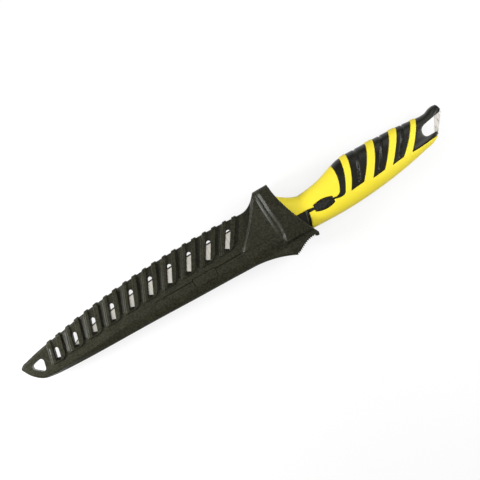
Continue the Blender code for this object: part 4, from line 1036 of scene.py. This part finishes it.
def makeBlade():
    tip = -blade["length"] + np.array([0, 0.08, 0.25, 0.5, 0.9, 1.4, 2, 2.8, 3.8])
    xs = [*tip, *np.linspace(-147.5, -11, 110), *np.linspace(-10.5, blade["heel"], 14)]
    body = lofted("bladeSteel", [bladeRing(x) for x in xs])
    shape(body, "UNION", eased(tangShape("tang", 0, blade["half"]), blade["tangEdge"], 2))
    finished(body, "bladeSteel", "knife", ["blade"], 12)
    print("blade made")


outlines = gripOutlines()
makeBlade()
makeHandle()


studs = {
    "pitch": 0.95, "rowPitch": 0.866, "radius": 0.36, "flatness": 0.7, "sink": 0.14, "margin": 0.75,
    "middle": (35, -5.85), "lean": -0.07,
}


def studTree():  # a small dome at every point
    kit = shapeGroup("padStuds", {"Radius": 0.00036, "Flatness": 0.6})
    dome = kit.add("GeometryNodeMeshIcoSphere", Radius=kit.given["Radius"], Subdivisions=2)[0]
    size = kit.add("ShaderNodeCombineXYZ", X=1.0, Y=1.0, Z=kit.given["Flatness"])[0]
    turn = kit.attribute("turn", "FLOAT_VECTOR")
    return kit.close(kit.add("GeometryNodeInstanceOnPoints", Points=kit.given["Geometry"], Instance=dome,
                             Rotation=turn, Scale=size)[0])


def makeStuds():
    points, turns = [], []
    middleX, middleY = studs["middle"]
    oval = np.array([*fairRun(hook["ovalLow"]), *fairRun(hook["ovalHigh"])])
    for row in range(-4, 5):
        for column in range(-8, 9):
            x = middleX + (column + 0.5 * (row % 2)) * studs["pitch"]
            y = middleY + studs["lean"] * (x - middleX) + row * studs["pitch"] * studs["rowPitch"]
            if gapTo(oval, np.array([x]), np.array([y]))[0] > -studs["margin"]:
                continue
            low, high, half = (float(f(x)) for f in (backAt, bellyAt, halfAt))
            reach = (high - low) / 2
            share = (y - (low + high) / 2) / reach
            within = 1 - abs(share) ** squareness
            z = half * within ** (1 / squareness) - handle["sink"] + handle["ovalRise"] - studs["sink"]
            slope = half * abs(share) ** (squareness - 1) / reach * within ** (1 / squareness - 1)
            for side in (1, -1):
                points.append((x, y, side * z))
                turns.append((math.atan(math.copysign(slope, share)) * side, 0, 0))
    piece = meshOf("ovalStuds", points)
    pointAttribute(piece, "turn", turns)
    sizes = {"Radius": studs["radius"] * mm, "Flatness": studs["flatness"]}
    applyTree(piece, studTree(), "gripRubber", sizes)
    finished(piece, "gripRubber", "knife", [], 80)
    print("studs made:", len(points))


makeStuds()


clip = {
    "seat": -collarHalf - 0.3, "lift": 0.4, "thick": 2.2, "middle": 1.5, "front": 4.6, "reach": 62.0,
    "nip": 1.2, "clear": 0.9, "halfWidth": 9.0, "narrow": 0.22, "endNarrow": (16, 0.25, 4.5), "edge": 0.55,
    "baseLength": 15.0, "baseShares": (0.7, 0.45), "baseEdge": 0.5, "baseRounding": 1.2,
    "grooves": {"Count": 6, "Radius": 0.0007, "Depth": 0.03}, "groovePitch": 3, "grooveSink": 0.25,
}


def clipLeaf(inner, outer):  # a strip, bent in to the nip and out to the lip, narrower to its end
    reach, near = clip["reach"], -sheath["caseHalf"] - clip["clear"] - clip["nip"]
    line = [(x, inner) for x in (0.3 - clip["front"], 20, 40, reach - 2)]
    line += [(reach + 2, inner + 0.35), (reach + 6, inner + 2.2)]
    line += [(reach + x, near - z) for x, z in ((10, 1), (13, 0), (15.5, 0.5), (18, 1.5), (20, 2.6))]
    line = fairRun([(-x, z) for x, z in line], 4)
    ahead = np.gradient(line, axis=0)
    away = np.stack([ahead[:, 1], -ahead[:, 0]], axis=1) / np.linalg.norm(ahead, axis=1)[:, None]
    away *= -1 if away[0][1] > 0 else 1
    below = line + away * clip["thick"]
    below[:, 1] = np.maximum(below[:, 1], outer)
    start, share, over = clip["endNarrow"]
    rings = []
    for side in (-1, 1):
        ring = []
        for x, z in (*line, *below[::-1]):
            width = 1 - clip["narrow"] * min(1, max(0, -x / reach))
            width *= 1 - share * (max(0, -x - reach - start) / over) ** 2
            ring.append((x, clip["middle"] + side * clip["halfWidth"] * width, z))
        rings.append(ring)
    return eased(lofted("beltClip", rings), clip["edge"], 3, 50)


def makeClip():
    inner = clip["seat"] - clip["lift"]
    outer, front, length = inner - clip["thick"], clip["front"], clip["baseLength"]
    leaf = clipLeaf(inner, outer)
    at = lambda k: 16 - clip["reach"] - clip["groovePitch"] * k
    path = [(at(k), clip["middle"], outer - clip["grooveSink"]) for k in range(clip["grooves"]["Count"])]
    grooves = applyTree(pathOf("grooves", path), trees["notches"], "clipPlastic", clip["grooves"])
    middle = (Vector(path[0]) + Vector(guard)) * mm
    middle.x = 0
    turn = Matrix.Translation(middle) @ Matrix.Rotation(math.pi / 2, 4, "X") @ Matrix.Translation(-middle)
    grooves.data.transform(turn)
    cut(leaf, grooves)
    finished(leaf, "clipPlastic", "clip_leaf", ["belt_clip"], 35)
    low, high = clip["middle"] - clip["halfWidth"], clip["middle"] + clip["halfWidth"]
    ends = [front + share * length for share in clip["baseShares"]]
    corners = [(front, low), (ends[0], low), (ends[1], high), (front, high)]
    base = prism("clipBase", roundedCorners(corners, clip["baseRounding"]), outer, clip["seat"])
    eased(base, clip["baseEdge"], 3, 50)
    for spot in screws["places"]:
        hole, recess = ringAt(*spot, screws["shank"] + 0.1), ringAt(*spot, screws["head"] + 0.12, 48)
        cut(base, prism("hole", hole, outer - 1, clip["seat"] + 1),
            prism("recess", recess, outer - 1, outer + screws["headHeight"] + 0.25))
    finished(base, "clipPlastic", "sheath", ["clip_base"], 35)
    makeScrews(outer + screws["headHeight"] + 0.2, clip["seat"] + 2)
    print("clip made")


def makeScrews(seat, tip):  # one turned form with a cross recess, put at both places
    lines = [(radius, seat - z) for radius, z in screws["headForm"]]
    lines += [(1.5, tip - 0.3), (1.0, tip), (0.001, tip)]
    form = lofted("screwForm", [[(x, y, z) for x, y in ringAt(0, 0, radius, 48)] for radius, z in lines])
    for width, length in (screws["drive"], screws["drive"][::-1]):
        x, y = length / 2, width / 2
        cut(form, prism("drive", [(-x, -y), (x, -y), (x, y), (-x, y)], seat - 3, seat - screws["driveDepth"]))
    piece = meshOf("clipScrews", [(x, y, 0) for x, y in screws["places"]])
    applyTree(piece, trees["forms"], "screwSteel", {"Form": centred(form)})
    bpy.data.objects.remove(form)
    finished(piece, "screwSteel", "sheath", ["clip_screw_low", "clip_screw_high"], 35)


makeClip()


stage = {
    "floorSize": 4.0, "floor": 0.2, "world": 0.28,
    "lamps": {  # power, size, place and aim
        "key": (1.08, 0.1, (-0.3, 0.045, 0.17), (-0.02, 0, 0.02)),
        "rim": (0.27, 0.08, (-0.22, 0.2, 0.17), (-0.02, 0, 0.02)),
        "top": (0.19, 0.3, (-0.1, 0, 0.5), (-0.08, 0, 0.02)),
        "side": (0.64, 0.16, (0.34, 0, 0.28), (0.08, 0, 0.02)),
        "fill": (0.1, 0.16, (0.2, 0.18, 0.2), (0.08, 0, 0.02)),
        "low": (0.18, 0.14, (0.25, -0.16, 0.19), (0.09, 0, 0.02)),
    },
    "camera": (4.8, 2.3, 18.0), "lens": 100.0, "span": 308.5, "turn": -30.0,
}


def makeFloor():  # matte and plain, white where the camera or a reflection sees it unshaded
    half = stage["floorSize"] / 2
    mesh = bpy.data.meshes.new("floor")
    corners = [(-half, -half, 0), (half, -half, 0), (half, half, 0), (-half, half, 0)]
    mesh.from_pydata(corners, [], [(0, 1, 2, 3)])
    material = bpy.data.materials.new("paleFloor")
    material.use_nodes = True
    kit = nodeKit(material.node_tree)
    kit.tree.nodes.remove(kit.tree.nodes["Principled BSDF"])
    matte = kit.add("ShaderNodeBsdfDiffuse", Color=(stage["floor"],) * 3 + (1,))[0]
    path = kit.add("ShaderNodeLightPath")
    seen = kit.math("MAXIMUM", path["Is Camera Ray"], path["Is Glossy Ray"])
    seen = kit.math("MAXIMUM", seen, path["Is Transmission Ray"])
    strength = kit.math("MULTIPLY", seen, 1 - stage["floor"])
    glow = kit.add("ShaderNodeEmission", Color=(1, 1, 1, 1), Strength=strength)[0]
    both = kit.add("ShaderNodeAddShader", n0=matte, n1=glow)[0]
    kit.feed(kit.tree.nodes["Material Output"].inputs[0], both)
    mesh.materials.append(material)
    linked("floor", mesh)


def makeStage():
    makeFloor()
    scene = bpy.context.scene
    scene.world = bpy.data.worlds.new("softLight")
    scene.world.use_nodes = True
    backdrop = scene.world.node_tree.nodes["Background"].inputs
    backdrop["Strength"].default_value, backdrop["Color"].default_value = stage["world"], (1, 1, 1, 1)
    for name, (power, size, place, aim) in stage["lamps"].items():
        lamp = bpy.data.lights.new(name, "AREA")
        lamp.energy, lamp.size = power, size
        light = linked(name, lamp)
        light.location = place
        light.rotation_euler = (Vector(place) - Vector(aim)).to_track_quat("Z", "Y").to_euler()
    camera = linked("camera", bpy.data.cameras.new("camera"))
    camera.data.lens = stage["lens"]
    x, y, z = stage["camera"]
    distance = stage["span"] * stage["lens"] / camera.data.sensor_width
    camera.location = (x * mm, y * mm, (z + distance) * mm)
    camera.rotation_euler = (0, 0, math.radians(stage["turn"]))
    scene.camera = camera
    scene.view_settings.view_transform = "Standard"
    print("stage set")


makeStage()
